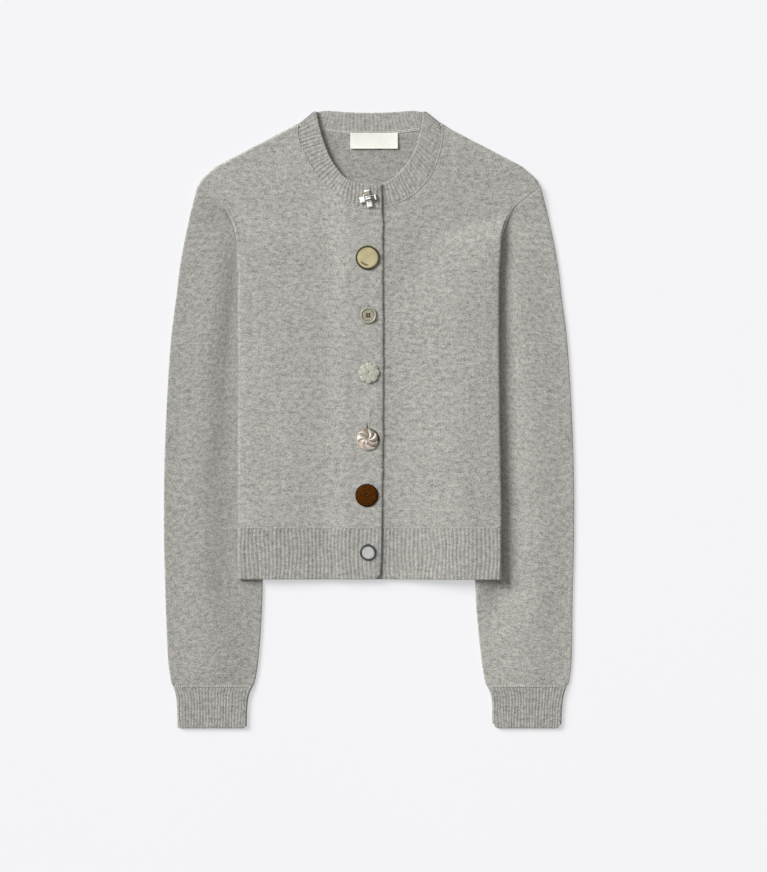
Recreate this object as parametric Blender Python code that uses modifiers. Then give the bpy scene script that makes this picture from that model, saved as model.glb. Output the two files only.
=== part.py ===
"""Button cardigan in grey melange knit, buttoned and laid flat with its front up.

Metres, with +Z up and the surface it lies on at z = 0.  +Y runs from the hem to the neck.
The wearer's right is at -X and the wearer's left at +X.  The origin is under the middle of
the outline.

Layers from the surface up: sleeves (their inner margins reach under the body), back, left
front, right front, buttons.  Every knitted piece is a wall of its own, a small gap away from
its neighbours along the seams.
"""

import math

import bmesh
import bpy
import numpy as np
from mathutils import Matrix

MM = 0.001

# Cloth
WALL = 2.0 * MM  # plain knit
RIB_WALL = 2.4 * MM  # rib knit, over a ridge
RIB_DEPTH = 0.8 * MM
RIB_PITCH = 4.3 * MM  # hem and neckband
CUFF_RIB_PITCH = 3.6 * MM
EDGE_ROUND = 1.6 * MM  # how far a rib band's free edge is rounded

# Gaps
SEAM_GAP = 0.4 * MM
NECK_SEAM_GAP = 0.9 * MM  # wider, so the panels' straight facets clear the neckband's curve
LAYER_GAP = 0.3 * MM
ARMHOLE_GAP = 0.7 * MM  # wider for the same reason, where the sleeves meet the body
FOLD_GAP = 0.7 * MM  # between back and front where they meet at a fold
INNER_GAP = 1.6 * MM  # air between back and front

# Heights
FRONT_LEVEL = WALL + INNER_GAP  # under face of a front that lies straight on the back
PLACKET_RISE = RIB_WALL + LAYER_GAP  # how far the right front climbs over the left one
SLEEVE_EDGE_HEIGHT = 4.8 * MM  # a sleeve flattened to two walls
SLEEVE_CROWN = 2.6 * MM  # how far its visible middle swells above that
LEFT_BULGE = 3.2 * MM  # the left sleeve stays rounder where it passes beneath the body
BULGE_WIDTH = 20 * MM  # how far in from the body's side that bulge has grown to the full
BULGE_FADE = (-215 * MM, -165 * MM)  # it fades out below the hem, between these y
SLEEVE_LIFT = SLEEVE_EDGE_HEIGHT + 0.4 * MM  # under face of the back where it lies on a sleeve
BACK_RAMP = 34 * MM  # width over which the back climbs onto a sleeve
FRONT_RAMP = 88 * MM  # the same for the fronts, which bridge the air between
PLACKET_RAMP_START = -50 * MM
PLACKET_RAMP_END = -21 * MM

# Outline of the body
BODY_HALF_WIDTH = 144.1 * MM
HEM_BOTTOM = -176.0 * MM
HEM_SEAM = -119.2 * MM
FOLD_RADIUS = 2.8 * MM  # plain knit folded at the side or the shoulder
RIB_FOLD_RADIUS = (FRONT_LEVEL + RIB_WALL) / 2
SIDE_BOW_START = 150 * MM  # the side bows out to the armhole's foot from here
UNDERARM_FOLD_END = 205 * MM  # the side fold opens into the armhole seam from here
UNDERARM_FOLD_FADE = 26 * MM
SHOULDER_FOLD_END = 70 * MM  # the shoulder fold opens into the back neck seam here
SHOULDER_FOLD_FADE = 7 * MM

# Front edges at the placket
RIGHT_HEM_EDGE = 13.6 * MM
RIGHT_FRONT_EDGE = 15.2 * MM
LEFT_FRONT_EDGE = -17.0 * MM
EDGE_TURN_SHARE = 0.875  # share of the front edge after which it turns to meet the neckband

# Cuffs
CUFF_SEAM = -293.6 * MM
CUFF_BOTTOM = -339.9 * MM
CUFF_CORNER = 5.0 * MM  # reach of the eased corners of the cuff's free edge
CUFF_CORNER_RISE = 1.6 * MM
HEM_CORNER = 6.5 * MM  # reach and rise of the right front's rounded lower corner
HEM_CORNER_RISE = 5.0 * MM

# Half outlines on the wearer's left side, in millimetres; the right side mirrors them.
# Each row: x, y.
ARMHOLE = (
    (145.2, 193.6),
    (148.9, 211.2),
    (156.0, 226.8),
    (161.3, 233.9),
    (170.0, 240.9),
    (188.5, 255.5),
)
SHOULDER = (
    (188.5, 255.5),
    (184.2, 262.8),
    (171.6, 273.9),
    (163.9, 279.4),
    (122.1, 301.4),
    (92.0, 317.0),
)
SLEEVE_OUTER_EDGE = (
    (188.5, 255.5),
    (192.5, 240.9),
    (198.0, 218.9),
    (206.8, 174.9),
    (212.3, 130.9),
    (217.8, 86.9),
    (222.2, 20.9),
    (225.0, -50.0),
    (225.5, -120.0),
    (224.4, -177.0),
    (221.6, -254.0),
    (218.2, -286.0),
    (215.6, -293.2),
)
SLEEVE_INNER_EDGE = (
    (112.0, 120.0),
    (112.0, 50.0),
    (114.0, -60.0),
    (116.6, -176.0),
    (118.3, -221.0),
    (121.6, -265.0),
    (125.0, -287.0),
    (127.0, -293.2),
)
# The sleeve's end under the body, from the underarm up to the armhole's foot: x, y.
SLEEVE_HIDDEN_END = (
    (112.0, 120.0),
    (126.0, 138.0),
    (137.0, 160.0),
    (143.5, 180.0),
    (145.2, 193.6),
)
# Where the sleeve's inner margin lies under the body, for the climb of the layers: y, x.
SLEEVE_MARGIN = (
    (-176.0, 114.6),
    (-60.0, 112.0),
    (60.0, 110.0),
    (110.0, 104.0),
    (138.0, 117.0),
    (160.0, 130.0),
    (180.0, 139.0),
    (193.6, 143.2),
    (211.0, 205.0),
    (228.0, 262.0),
    (256.0, 300.0),
)
# The cuff's two side edges: x at the seam, x at the free edge.
CUFF_OUTER = (214.6, 210.9)
CUFF_INNER = (127.4, 134.2)

# The neckband, in millimetres.  Each row: free edge x, y, then seam x, y.
BAND_RIGHT_FRONT = (
    (12.7, 257.8, 12.7, 232.0),
    (-2.8, 257.6, -2.8, 231.2),
    (-16.7, 260.0, -21.0, 235.0),
    (-28.5, 267.0, -40.7, 249.2),
    (-40.6, 283.1, -59.5, 270.5),
    (-49.1, 302.7, -73.0, 295.5),
    (-55.0, 323.0, -78.6, 314.0),
    (-58.8, 340.8, -76.8, 324.9),
)
BAND_LEFT_FRONT = (
    (-17.0, 257.8, -17.0, 231.4),
    (-2.0, 257.6, -2.0, 231.0),
    (12.7, 258.0, 14.5, 232.4),
    (25.3, 263.5, 34.5, 238.9),
    (39.4, 277.5, 54.0, 251.5),
    (49.2, 292.9, 69.5, 271.5),
    (55.2, 310.0, 78.0, 295.0),
    (58.8, 327.0, 80.8, 314.0),
    (60.6, 340.8, 79.0, 324.9),
)
BAND_BACK = (
    (-58.8, 340.8, -76.8, 324.9),
    (-46.0, 338.6, -54.0, 318.6),
    (-22.0, 337.0, -24.0, 315.0),
    (0.0, 336.4, 1.0, 314.4),
    (24.0, 337.0, 27.0, 315.0),
    (47.0, 338.6, 56.0, 318.6),
    (60.6, 340.8, 79.0, 324.9),
)

# Neck label
LABEL_CENTRE = (6.0 * MM, 305.6 * MM)
LABEL_SIZE = (51.6 * MM, 16.8 * MM, 0.6 * MM)

# Buttons, in millimetres.  Each row: name, x, y, diameter, top of its buttonhole above its
# middle, length of the buttonhole.
BUTTONS = (
    ("button_crystal", -0.8, 242.3, 19.0, 11.8, 15.5),
    ("button_dome", -1.2, 177.4, 26.4, 14.2, 22.0),
    ("button_horn", -0.8, 114.2, 17.6, 11.5, 18.0),
    ("button_flower", 0.0, 50.9, 23.6, 13.2, 20.0),
    ("button_pinwheel", -1.1, -22.4, 24.8, 19.0, 23.0),
    ("button_leather", -2.4, -83.9, 25.2, 13.8, 21.0),
    ("button_cabochon", -1.3, -146.7, 17.8, 10.6, 17.0),
)
SHANK_RADIUS = 1.3 * MM
SHANK_FOOT_GAP = LAYER_GAP
BUTTONHOLE_WIDTH = 3.6 * MM
ROUND_STEPS = 18
HORN_HOLE_RADIUS = 0.8 * MM
HORN_HOLE_SPACING = 3.4 * MM
HORN_HOLE_DEPTH = 1.2 * MM
HORN_FACE = 1.7 * MM  # height of the dished face that the holes are in
FLOWER_PETALS = 8
PINWHEEL_BLADES = 10
PINWHEEL_LEAN = 0.5  # radians by which the blades lean round the middle
SETTING_STEPS = 16

# The crystal's stones, as shares of its radius: x, y, width, depth; then height in millimetres.
STONES = (
    (0.0, 0.0, 0.62, 0.62, 3.6),
    (0.66, 0.0, 0.58, 0.86, 3.0),
    (-0.66, 0.0, 0.58, 0.86, 3.0),
    (0.0, 0.66, 0.86, 0.58, 3.0),
    (0.0, -0.66, 0.86, 0.58, 3.0),
)
STONE_FOOT = 0.4 * MM
STONE_TAPER = 0.6  # size of a stone's flat top, as a share of its foot

# Sampling of the curves
CURVE_STEPS = 12  # points on each stretch between two rows of a table
SEAM_POINTS = 40
SLEEVE_END_POINTS = 81
BACK_SEAM_POINTS = 12
FOLD_ARC_STEPS = 3
CUFF_UNDER_POINTS = 7
HALF_TURN = np.radians([60, 30, 0, -30, -60])  # a rib band's half turn, from above to below
QUARTER_TURNS = np.radians([45, 0, -45])  # a sleeve's edge, from above to below
# How a wall rounds into a fold: share of the radius outwards, share of the way down.
FOLD_STEPS = np.array([(0.0, 0.0), (0.64, 0.20), (1.0, 0.70), (1.0, 1.0)])
FLAT_STEP_BACK = np.array([0.0, 0.18, 0.0])
END_PULL = 14  # how sharply a moved top line is drawn onto its ends

# Rows and columns of the plain panels' grids, as shares
BODY_ROWS = np.array([0, 0.2, 0.4, 0.6, 0.74, 0.82, 0.89, 0.95, 1.0])
NECK_ROWS = 1 + np.linspace(0, 1, 14)[1:]
BACK_NECK_ROWS = 1 + np.linspace(0, 1, 9)[1:]
RIGHT_FRONT_COLUMNS = (
    (0, 0.085, 0.174, 0.238, 0.302, 0.366, 0.43)  # the side, with the climb onto the sleeve
    + (0.551, 0.627, 0.678, 0.729, 0.774, 0.889, 1)  # the middle, with the climb at the placket
)
LEFT_FRONT_COLUMNS = (0, 0.085, 0.173, 0.236, 0.30, 0.363, 0.427, 0.50, 0.58, 0.68, 0.78, 0.88, 1)
HALF_BACK_COLUMNS = (0, 0.09, 0.165, 0.215, 0.265, 0.315, 0.40, 0.51, 0.62, 0.67, 0.74, 0.83, 0.92)
SLEEVE_STATIONS = 14
SLEEVE_TOP_COLUMNS = (0.06, 0.14, 0.22, 0.30, 0.38, 0.46, 0.54, 0.65, 0.80, 0.92)
SLEEVE_BOTTOM_COLUMNS = (0.92, 0.72, 0.52, 0.40, 0.28, 0.14)

# Materials: name, colour (linear), roughness, metallic
GREY_KNIT = ("grey_knit", (0.40, 0.385, 0.355), 0.95, 0.0)
GREY_RIB = ("grey_rib", (0.40, 0.385, 0.355), 0.95, 0.0)
LABEL_CLOTH = ("label_cloth", (0.83, 0.83, 0.78), 0.8, 0.0)
CLEAR_STONES = ("clear_stones", (0.75, 0.77, 0.78), 0.08, 0.3)
GOLD_METAL = ("gold_metal", (0.45, 0.33, 0.13), 0.3, 1.0)
DARK_HORN = ("dark_horn", (0.13, 0.10, 0.05), 0.4, 0.3)
PEARL = ("pearl", (0.80, 0.77, 0.70), 0.25, 0.0)
ROSE_GLASS = ("rose_glass", (0.55, 0.38, 0.33), 0.1, 0.0)
BROWN_LEATHER = ("brown_leather", (0.09, 0.035, 0.018), 0.5, 0.0)
SILVER_METAL = ("silver_metal", (0.55, 0.54, 0.52), 0.25, 1.0)


def smooth_step(share):
    """0 below 0, 1 above 1, and a smooth climb between."""
    share = np.clip(share, 0, 1)
    return share * share * (3 - 2 * share)


def smooth_curve(rows, shares):
    """Points at equal shares of the arc length of a Catmull-Rom curve through the rows."""
    knots = np.asarray(rows, float)
    padded = np.vstack([2 * knots[0] - knots[1], knots, 2 * knots[-1] - knots[-2]])
    steps = np.linspace(0, 1, CURVE_STEPS, endpoint=False)[:, None]
    pieces = []
    for a, b, c, d in zip(padded, padded[1:], padded[2:], padded[3:]):
        cubic = 2 * b + (c - a) * steps + (2 * a - 5 * b + 4 * c - d) * steps**2
        pieces.append((cubic + (3 * b - a - 3 * c + d) * steps**3) / 2)
    dense = np.vstack(pieces + [knots[-1:]])
    length = np.concatenate([[0], np.cumsum(np.linalg.norm(np.diff(dense, axis=0), axis=1))])
    wanted = np.asarray(shares, float) * length[-1]
    return np.stack([np.interp(wanted, length, column) for column in dense.T], axis=-1)


def outward(points, side):
    """Unit normals of a plan curve, on its left where side is +1 and on its right where -1."""
    along = np.gradient(points, axis=0)
    along /= np.linalg.norm(along, axis=1, keepdims=True)
    return side * np.stack([-along[:, 1], along[:, 0]], axis=-1)


def mirrored(points, side):
    """The points with x turned to the wearer's left (+1) or right (-1)."""
    return points * np.array([side, 1.0])


def margin_x(y):
    """Where the sleeve's inner margin begins under the body, at this y."""
    margin = np.array(SLEEVE_MARGIN) * MM
    return np.interp(y, margin[:, 0], margin[:, 1])


def sleeve_lift(x):
    """How high the body lies on the sleeve of this side."""
    return SLEEVE_LIFT + np.where(np.asarray(x) > 0, LEFT_BULGE, 0.0)


def back_underside(x, y):
    """Height of the back's under face: on the surface, or up on a sleeve's margin."""
    return sleeve_lift(x) * smooth_step((np.abs(x) - margin_x(y) + BACK_RAMP) / BACK_RAMP)


def front_underside(x, y, on_top):
    """Height of a front's under face; on_top is the right front, which climbs the placket."""
    over_sleeve = smooth_step((np.abs(x) - margin_x(y) + FRONT_RAMP) / FRONT_RAMP)
    height = FRONT_LEVEL + sleeve_lift(x) * over_sleeve
    if on_top:
        ramp = PLACKET_RAMP_END - PLACKET_RAMP_START
        height = height + PLACKET_RISE * smooth_step((x - PLACKET_RAMP_START) / ramp)
    return height


def collection_named(name):
    """A new collection in the scene."""
    collection = bpy.data.collections.new(name)
    bpy.context.scene.collection.children.link(collection)
    return collection


def material_of(row):
    """The Principled material of one row, made once."""
    name, colour, roughness, metallic = row
    if name in bpy.data.materials:
        return bpy.data.materials[name]
    material = bpy.data.materials.new(name)
    material.use_nodes = True
    shader = material.node_tree.nodes["Principled BSDF"]
    shader.inputs["Base Color"].default_value = (*colour, 1.0)
    shader.inputs["Roughness"].default_value = roughness
    shader.inputs["Metallic"].default_value = metallic
    return material


def object_from(name, points, faces, parts, material):
    """A smooth-shaded mesh object from points (n, 3) and faces."""
    mesh = bpy.data.meshes.new(name)
    mesh.from_pydata([tuple(point) for point in np.asarray(points, float)], [], faces)
    mesh.materials.append(material_of(material))
    mesh.shade_smooth()
    mesh.update()
    obj = bpy.data.objects.new(name, mesh)
    parts.objects.link(obj)
    return obj


def grid_faces(rows, columns, closed=False, flip=False):
    """Quads of a grid of points stored row by row; closed joins each row's ends."""
    faces = []
    for row in range(rows - 1):
        for column in range(columns if closed else columns - 1):
            following = (column + 1) % columns
            near = row * columns
            far = near + columns
            quad = (near + column, near + following, far + following, far + column)
            faces.append(quad[::-1] if flip else quad)
    return faces


def face_outwards(obj):
    """Turns a closed mesh's faces to point out of it."""
    mesh = bmesh.new()
    mesh.from_mesh(obj.data)
    bmesh.ops.recalc_face_normals(mesh, faces=mesh.faces)
    mesh.to_mesh(obj.data)
    mesh.free()


def thicken(obj, thickness, even):
    """Grows an open outer surface inwards into a wall; even keeps its thickness over folds."""
    solid = obj.modifiers.new("wall", "SOLIDIFY")
    solid.thickness = thickness
    solid.offset = -1
    solid.use_even_offset = even
    solid.use_quality_normals = True


def combine(obj, helper, operation):
    """Cuts a hidden helper out of an object, or joins it on."""
    boolean = obj.modifiers.new(helper.name, "BOOLEAN")
    boolean.operation = operation
    boolean.solver = "EXACT"
    boolean.object = helper


# Boundaries of the panels, in plan


def side_line(side, shares):
    """The body's side for shares 0 to 1, then the armhole seam for 1 to 2."""
    foot = ARMHOLE[0][1] * MM
    straight = np.clip(shares, 0, 1)
    y = HEM_SEAM + SEAM_GAP / 2 + straight * (foot - HEM_SEAM - SEAM_GAP / 2)
    bow = smooth_step((y - SIDE_BOW_START) / (foot - SIDE_BOW_START))
    x = BODY_HALF_WIDTH + bow * (ARMHOLE[0][0] * MM - BODY_HALF_WIDTH)
    line = np.stack([x, y], axis=-1)
    seam = smooth_curve(np.array(ARMHOLE) * MM, np.clip(shares - 1, 0, 1))
    return mirrored(np.where((shares > 1)[:, None], seam, line), side)


def neck_seam(rows, shares):
    """The panels' neck edge along part of the band, a seam's gap outside it."""
    rows = np.array(rows) * MM
    across = rows[:, 2:] - rows[:, :2]
    across /= np.linalg.norm(across, axis=1, keepdims=True)
    return smooth_curve(rows[:, 2:] + NECK_SEAM_GAP * across, shares)


def front_line(edge_x, band_rows, shares):
    """A front's placket edge for shares 0 to 1, then its neck seam for 1 to 2."""
    seam = neck_seam(band_rows, np.clip(shares - 1, 0, 1))
    seam_start = neck_seam(band_rows, [0.0])[0]
    straight = np.clip(shares, 0, 1)
    y = HEM_SEAM + SEAM_GAP / 2 + straight * (seam_start[1] - HEM_SEAM - SEAM_GAP / 2)
    turn = smooth_step((straight - EDGE_TURN_SHARE) / (1 - EDGE_TURN_SHARE))
    x = edge_x + turn * (seam_start[0] - edge_x)
    return np.where((shares > 1)[:, None], seam, np.stack([x, y], axis=-1))


def shoulder_line(side, neck_point, shares):
    """The shoulder fold from the armhole to the neck."""
    rows = mirrored(np.array(SHOULDER) * MM, side)
    return smooth_curve(np.vstack([rows, neck_point]), shares)


def back_top_line(shares):
    """The back's top edge: right shoulder, back neck seam, left shoulder."""
    ends = (inset_row(BAND_BACK[0], -1), inset_row(BAND_BACK[-1], 1))
    seam = neck_seam(ends[:1] + BAND_BACK[1:-1] + ends[1:], np.linspace(0, 1, BACK_SEAM_POINTS))
    right = mirrored(np.array(SHOULDER) * MM, -1)
    left = mirrored(np.array(SHOULDER) * MM, 1)[::-1]
    return smooth_curve(np.vstack([right, seam, left]), shares)


def patch(side, inner, top, rows):
    """Plan grid: straight rows from side to inner, the last rows bent onto top.

    side and inner hold a point for each row, and top a point for each column with its share.
    """
    points, shares = top
    across = shares[None, :, None]
    ruled = (1 - across) * side[:, None] + across * inner[:, None]
    bend = points[None] - ruled[-1:]
    return ruled + np.clip(rows - 1, 0, 1)[:, None, None] * bend


def fold_reach(amount):
    """Steps outwards into a fold, for each amount: full where folded, evenly spread where flat."""
    flat = 1 - np.asarray(amount)[:, None]
    return FOLD_RADIUS * (FOLD_STEPS[1:, 0] - flat * FLAT_STEP_BACK)


def folded(grid, side_normals, side_amounts, top_normals, top_amount):
    """Adds the columns and rows that round into the folds.

    Each side has its normals and fold amounts for every row, or None where it has no fold.
    Returns the plan grid and each point's share of the way down into a fold.
    """
    down = FOLD_STEPS[1:, 1]
    share = np.zeros(grid.shape[:2])
    for place, normals, amount in zip((0, -1), side_normals, side_amounts):
        if normals is None:
            continue
        extra = grid[:, place][:, None] + normals[:, None] * fold_reach(amount)[..., None]
        drop = amount[:, None] * down
        corner_normals = np.repeat(top_normals[place][None], len(down), 0)
        corner_amount = np.repeat(top_amount[place], len(down))
        if place == 0:
            grid = np.concatenate([extra[:, ::-1], grid], axis=1)
            share = np.concatenate([drop[:, ::-1], share], axis=1)
            top_normals = np.concatenate([corner_normals, top_normals])
            top_amount = np.concatenate([corner_amount, top_amount])
        else:
            grid = np.concatenate([grid, extra], axis=1)
            share = np.concatenate([share, drop], axis=1)
            top_normals = np.concatenate([top_normals, corner_normals])
            top_amount = np.concatenate([top_amount, corner_amount])
    reach = fold_reach(top_amount).T[..., None]
    extra = grid[-1][None] + top_normals[None] * reach
    drop = down[:, None] * top_amount
    return np.concatenate([grid, extra]), np.vstack([share, np.maximum(share[-1:], drop)])


def side_fold_amount(y):
    """1 where the side is a fold, 0 along the armhole seam."""
    return 1 - smooth_step((y - UNDERARM_FOLD_END) / UNDERARM_FOLD_FADE)


def shortened(rows, length):
    """Rows whose second stretch ends a fold's radius short of the shoulder line."""
    return np.where(rows > 1, 1 + (rows - 1) * (1 - FOLD_RADIUS / length), rows)


def curve_length(points):
    """Length of a run of points."""
    return np.linalg.norm(np.diff(points, axis=0), axis=1).sum()


def inset_side(side, rows):
    """A side line moved in by a fold's radius, its normals, and its direction at the shoulder."""
    armhole = smooth_curve(np.array(ARMHOLE) * MM, np.linspace(0, 1, SEAM_POINTS))
    points = side_line(side, shortened(rows, curve_length(armhole)))
    normals = outward(points, -side)
    ending = mirrored(armhole[-1] - armhole[-2], side)
    return points - FOLD_RADIUS * normals, normals, ending / np.linalg.norm(ending)


def inset_top(line, normals, shares, first, last):
    """A top line moved in by a fold's radius, and drawn onto its two end points."""
    inset = line - FOLD_RADIUS * normals
    near_first = ((1 - shares) ** END_PULL)[:, None]
    near_last = (shares**END_PULL)[:, None]
    return inset + near_first * (first - inset[0]) + near_last * (last - inset[-1])


def make_front(name, side, edge_x, band_rows, columns, on_top, parts):
    """One plain front: hem seam to shoulder, side and armhole to placket and neck."""
    rows = np.concatenate([BODY_ROWS, NECK_ROWS])
    shares = np.array(columns)
    seam = neck_seam(band_rows, np.linspace(0, 1, SEAM_POINTS))
    inner = front_line(edge_x, band_rows, shortened(rows, curve_length(seam)))
    top = shoulder_line(side, seam[-1], shares)
    top_normals = outward(top, -side)
    side_points, side_normals, side_ending = inset_side(side, rows)
    top = inset_top(top, top_normals, shares, side_points[-1], inner[-1])
    top_normals[0] = side_ending
    top_normals[-1] = (seam[-1] - seam[-2]) / np.linalg.norm(seam[-1] - seam[-2])
    grid = patch(side_points, inner, (top, shares), rows)
    amount = side_fold_amount(side_points[:, 1])
    whole = np.ones(len(shares))
    grid, share = folded(grid, (side_normals, None), (amount, None), top_normals, whole)
    x, y = grid[..., 0], grid[..., 1]
    face = front_underside(x, y, on_top) + WALL
    lowest = back_underside(x, y) + FOLD_RADIUS + FOLD_GAP / 2
    z = face + share * np.minimum(lowest - face, 0)
    points = np.stack([x, y, z], axis=-1).reshape(-1, 3)
    faces = grid_faces(*grid.shape[:2], flip=side > 0)
    front = object_from(name, points, faces, parts, GREY_KNIT)
    thicken(front, WALL, True)
    return front


def make_back(parts):
    """The plain back, from the hem seam to the shoulders and the back neck seam."""
    rows = np.concatenate([BODY_ROWS, BACK_NECK_ROWS])
    half = np.array(HALF_BACK_COLUMNS) / 2
    shares = np.concatenate([half, [0.5], 1 - half[::-1]])
    top = back_top_line(shares)
    top_normals = outward(top, 1)
    right_side, right_normals, right_ending = inset_side(-1, rows)
    left_side, left_normals, left_ending = inset_side(1, rows)
    shoulder = smooth_step((np.abs(top[:, 0]) - SHOULDER_FOLD_END) / SHOULDER_FOLD_FADE)
    top = inset_top(top, top_normals, shares, right_side[-1], left_side[-1])
    top_normals[0] = right_ending
    top_normals[-1] = left_ending
    grid = patch(right_side, left_side, (top, shares), rows)
    amount = side_fold_amount(right_side[:, 1])
    normals = (right_normals, left_normals)
    grid, share = folded(grid, normals, (amount, amount), top_normals, shoulder)
    x, y = grid[..., 0], grid[..., 1]
    z = back_underside(x, y) + share * (FOLD_RADIUS - FOLD_GAP / 2)
    points = np.stack([x, y, z], axis=-1).reshape(-1, 3)
    faces = grid_faces(*grid.shape[:2], flip=True)
    back = object_from("back_panel", points, faces, parts, GREY_KNIT)
    thicken(back, WALL, True)
    return back


# Sleeves


def sleeve_end(across):
    """Points of a sleeve's armhole end, a seam's gap outside the body: the shoulder at 0."""
    rows = np.vstack([np.array(SLEEVE_HIDDEN_END[:-1]), np.array(ARMHOLE)])[::-1] * MM
    shares = np.linspace(0, 1, SLEEVE_END_POINTS)
    line = smooth_curve(rows, shares)
    line = line + ARMHOLE_GAP * outward(line, 1)
    return np.stack([np.interp(across, shares, column) for column in line.T], axis=-1)


def sleeve_plan(side, lengthwise, across):
    """Plan grid of a sleeve: its outer edge at 0 across and its inner edge at 1."""
    end = sleeve_end(across)
    first, last = sleeve_end(np.array([0.0, 1.0]))
    outer = smooth_curve(np.vstack([first, np.array(SLEEVE_OUTER_EDGE[1:]) * MM]), lengthwise)
    inner = smooth_curve(np.vstack([last, np.array(SLEEVE_INNER_EDGE[1:]) * MM]), lengthwise)
    cuff = outer[-1] + across[:, None] * (inner[-1] - outer[-1])
    s = lengthwise[:, None, None]
    u = across[None, :, None]
    sides = (1 - u) * outer[:, None] + u * inner[:, None]
    ends = (1 - s) * end[None] + s * cuff[None]
    corners = (1 - s) * ((1 - u) * first + u * last) + s * ((1 - u) * outer[-1] + u * inner[-1])
    return mirrored(sides + ends - corners, side)


def sleeve_top(plan, lengthwise, across):
    """Height of a sleeve's upper face: crowned where it shows, bulging under the body's side."""
    x, y = plan[..., 0], plan[..., 1]
    shown = np.interp(y, np.array([-240, -186, 100]) * MM, (1.0, 0.70, 0.62))
    swell = np.where(across < shown, np.sin(np.pi * np.clip(across / shown, 0, 1)) ** 2, 0)
    crown = SLEEVE_CROWN * swell * smooth_step(lengthwise / 0.15)
    fade = smooth_step((y - BULGE_FADE[0]) / (BULGE_FADE[1] - BULGE_FADE[0]))
    bulge = (sleeve_lift(x) - SLEEVE_LIFT) * smooth_step((BODY_HALF_WIDTH - np.abs(x)) / BULGE_WIDTH)
    return SLEEVE_EDGE_HEIGHT + crown + bulge * fade


def make_sleeve(name, side, parts):
    """One sleeve: a flattened tube from its slanted armhole end to the cuff seam."""
    lengthwise = np.linspace(0, 1, SLEEVE_STATIONS)
    edges = sleeve_plan(side, lengthwise, np.array([0.0, 0.03, 0.97, 1.0]))
    out_start = edges[:, 0] - edges[:, 1]
    out_start /= np.linalg.norm(out_start, axis=1, keepdims=True)
    out_end = edges[:, 3] - edges[:, 2]
    out_end /= np.linalg.norm(out_end, axis=1, keepdims=True)
    radius_start = np.full((SLEEVE_STATIONS, 1), SLEEVE_EDGE_HEIGHT / 2)
    radius_end = sleeve_top(edges[:, 3:], lengthwise[:, None], 1.0) / 2
    start = (edges[:, 0] - radius_start * out_start)[:, None]
    end = (edges[:, 3] - radius_end * out_end)[:, None]
    across = np.array(SLEEVE_TOP_COLUMNS)
    plan = np.concatenate([start, sleeve_plan(side, lengthwise, across), end], axis=1)
    across = np.concatenate([[0], across, [1]])
    top = sleeve_top(plan, lengthwise[:, None], across[None])
    top[:, -1:] = 2 * radius_end
    under = sleeve_plan(side, lengthwise, np.array(SLEEVE_BOTTOM_COLUMNS))
    lower = np.concatenate([end, under, start], axis=1)
    ring = [np.dstack([plan, top])]
    for corner, out, radius, angles in (
        (end, out_end, radius_end, QUARTER_TURNS),
        (start, out_start, radius_start, -QUARTER_TURNS),
    ):
        turned_plan = corner + (radius * np.cos(angles))[..., None] * out[:, None]
        height = radius + radius * np.sin(angles)
        ring.append(np.dstack([turned_plan, height]))
        if len(ring) == 2:
            ring.append(np.dstack([lower, np.zeros(lower.shape[:2])]))
    points = np.concatenate(ring, axis=1)
    faces = grid_faces(*points.shape[:2], closed=True, flip=side < 0)
    sleeve = object_from(name, points.reshape(-1, 3), faces, parts, GREY_KNIT)
    thicken(sleeve, WALL, False)
    return sleeve


# Rib bands


def band_wall(name, outer_edge, outer_seam, inner_edge, inner_seam, parts, closed=False):
    """A band from four lines of points along it: its two faces at the free edge and the seam.

    Each station is a section of five points, with the free edge rounded off.
    """
    across = outer_seam - outer_edge
    width = np.linalg.norm(across, axis=1, keepdims=True)
    step = across / width * EDGE_ROUND
    nose = (outer_edge + inner_edge) / 2
    section = [outer_seam, outer_edge + step, nose, inner_edge + step, inner_seam]
    sections = np.stack(section, axis=1)
    stations, corners = sections.shape[:2]
    faces = grid_faces(stations, corners, closed=True)
    if closed:
        last = (stations - 1) * corners
        for corner in range(corners):
            following = (corner + 1) % corners
            faces.append((last + corner, last + following, following, corner))
    else:
        faces.append(tuple(range(corners))[::-1])
        faces.append(tuple((stations - 1) * corners + corner for corner in range(corners)))
    band = object_from(name, sections.reshape(-1, 3), faces, parts, GREY_RIB)
    face_outwards(band)
    return band


def rib_height(count):
    """Thickness of a rib wall at each half pitch: ridge, valley, ridge and so on."""
    valley = np.arange(count) % 2 == 1
    return RIB_WALL - RIB_DEPTH * valley


def half_pitches(length, pitch):
    """How many stations a length takes, two to a rib."""
    return 2 * round(length / pitch) + 1


def fold_arc(radius):
    """Quarter fold seen along the edge: how far outwards and how far up, at each step."""
    angles = np.radians(np.linspace(90, 0, FOLD_ARC_STEPS + 1))[1:]
    return radius * np.cos(angles), radius * np.sin(angles)


def make_front_hem(name, side, edge_x, on_top, parts):
    """The rib band under one front, from the placket to the side fold."""
    middle = (HEM_BOTTOM + HEM_SEAM) / 2
    fold_x = side * (BODY_HALF_WIDTH - RIB_FOLD_RADIUS)
    count = half_pitches(abs(fold_x - edge_x), RIB_PITCH)
    x = np.linspace(edge_x, fold_x, count)
    under = front_underside(x, middle, on_top)
    centre = back_underside(fold_x, middle) + RIB_FOLD_RADIUS
    faces = []
    for radius, height in (
        (RIB_FOLD_RADIUS - RIB_WALL, under),
        (RIB_FOLD_RADIUS, under + rib_height(count)),
    ):
        out, up = fold_arc(radius)
        z = np.append(height, centre + up)
        z[-1] += LAYER_GAP / 2
        faces.append(np.stack([np.append(x, fold_x + side * out), z]))
    return hem_wall(name, *faces, parts, edge_x if on_top else None)


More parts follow.
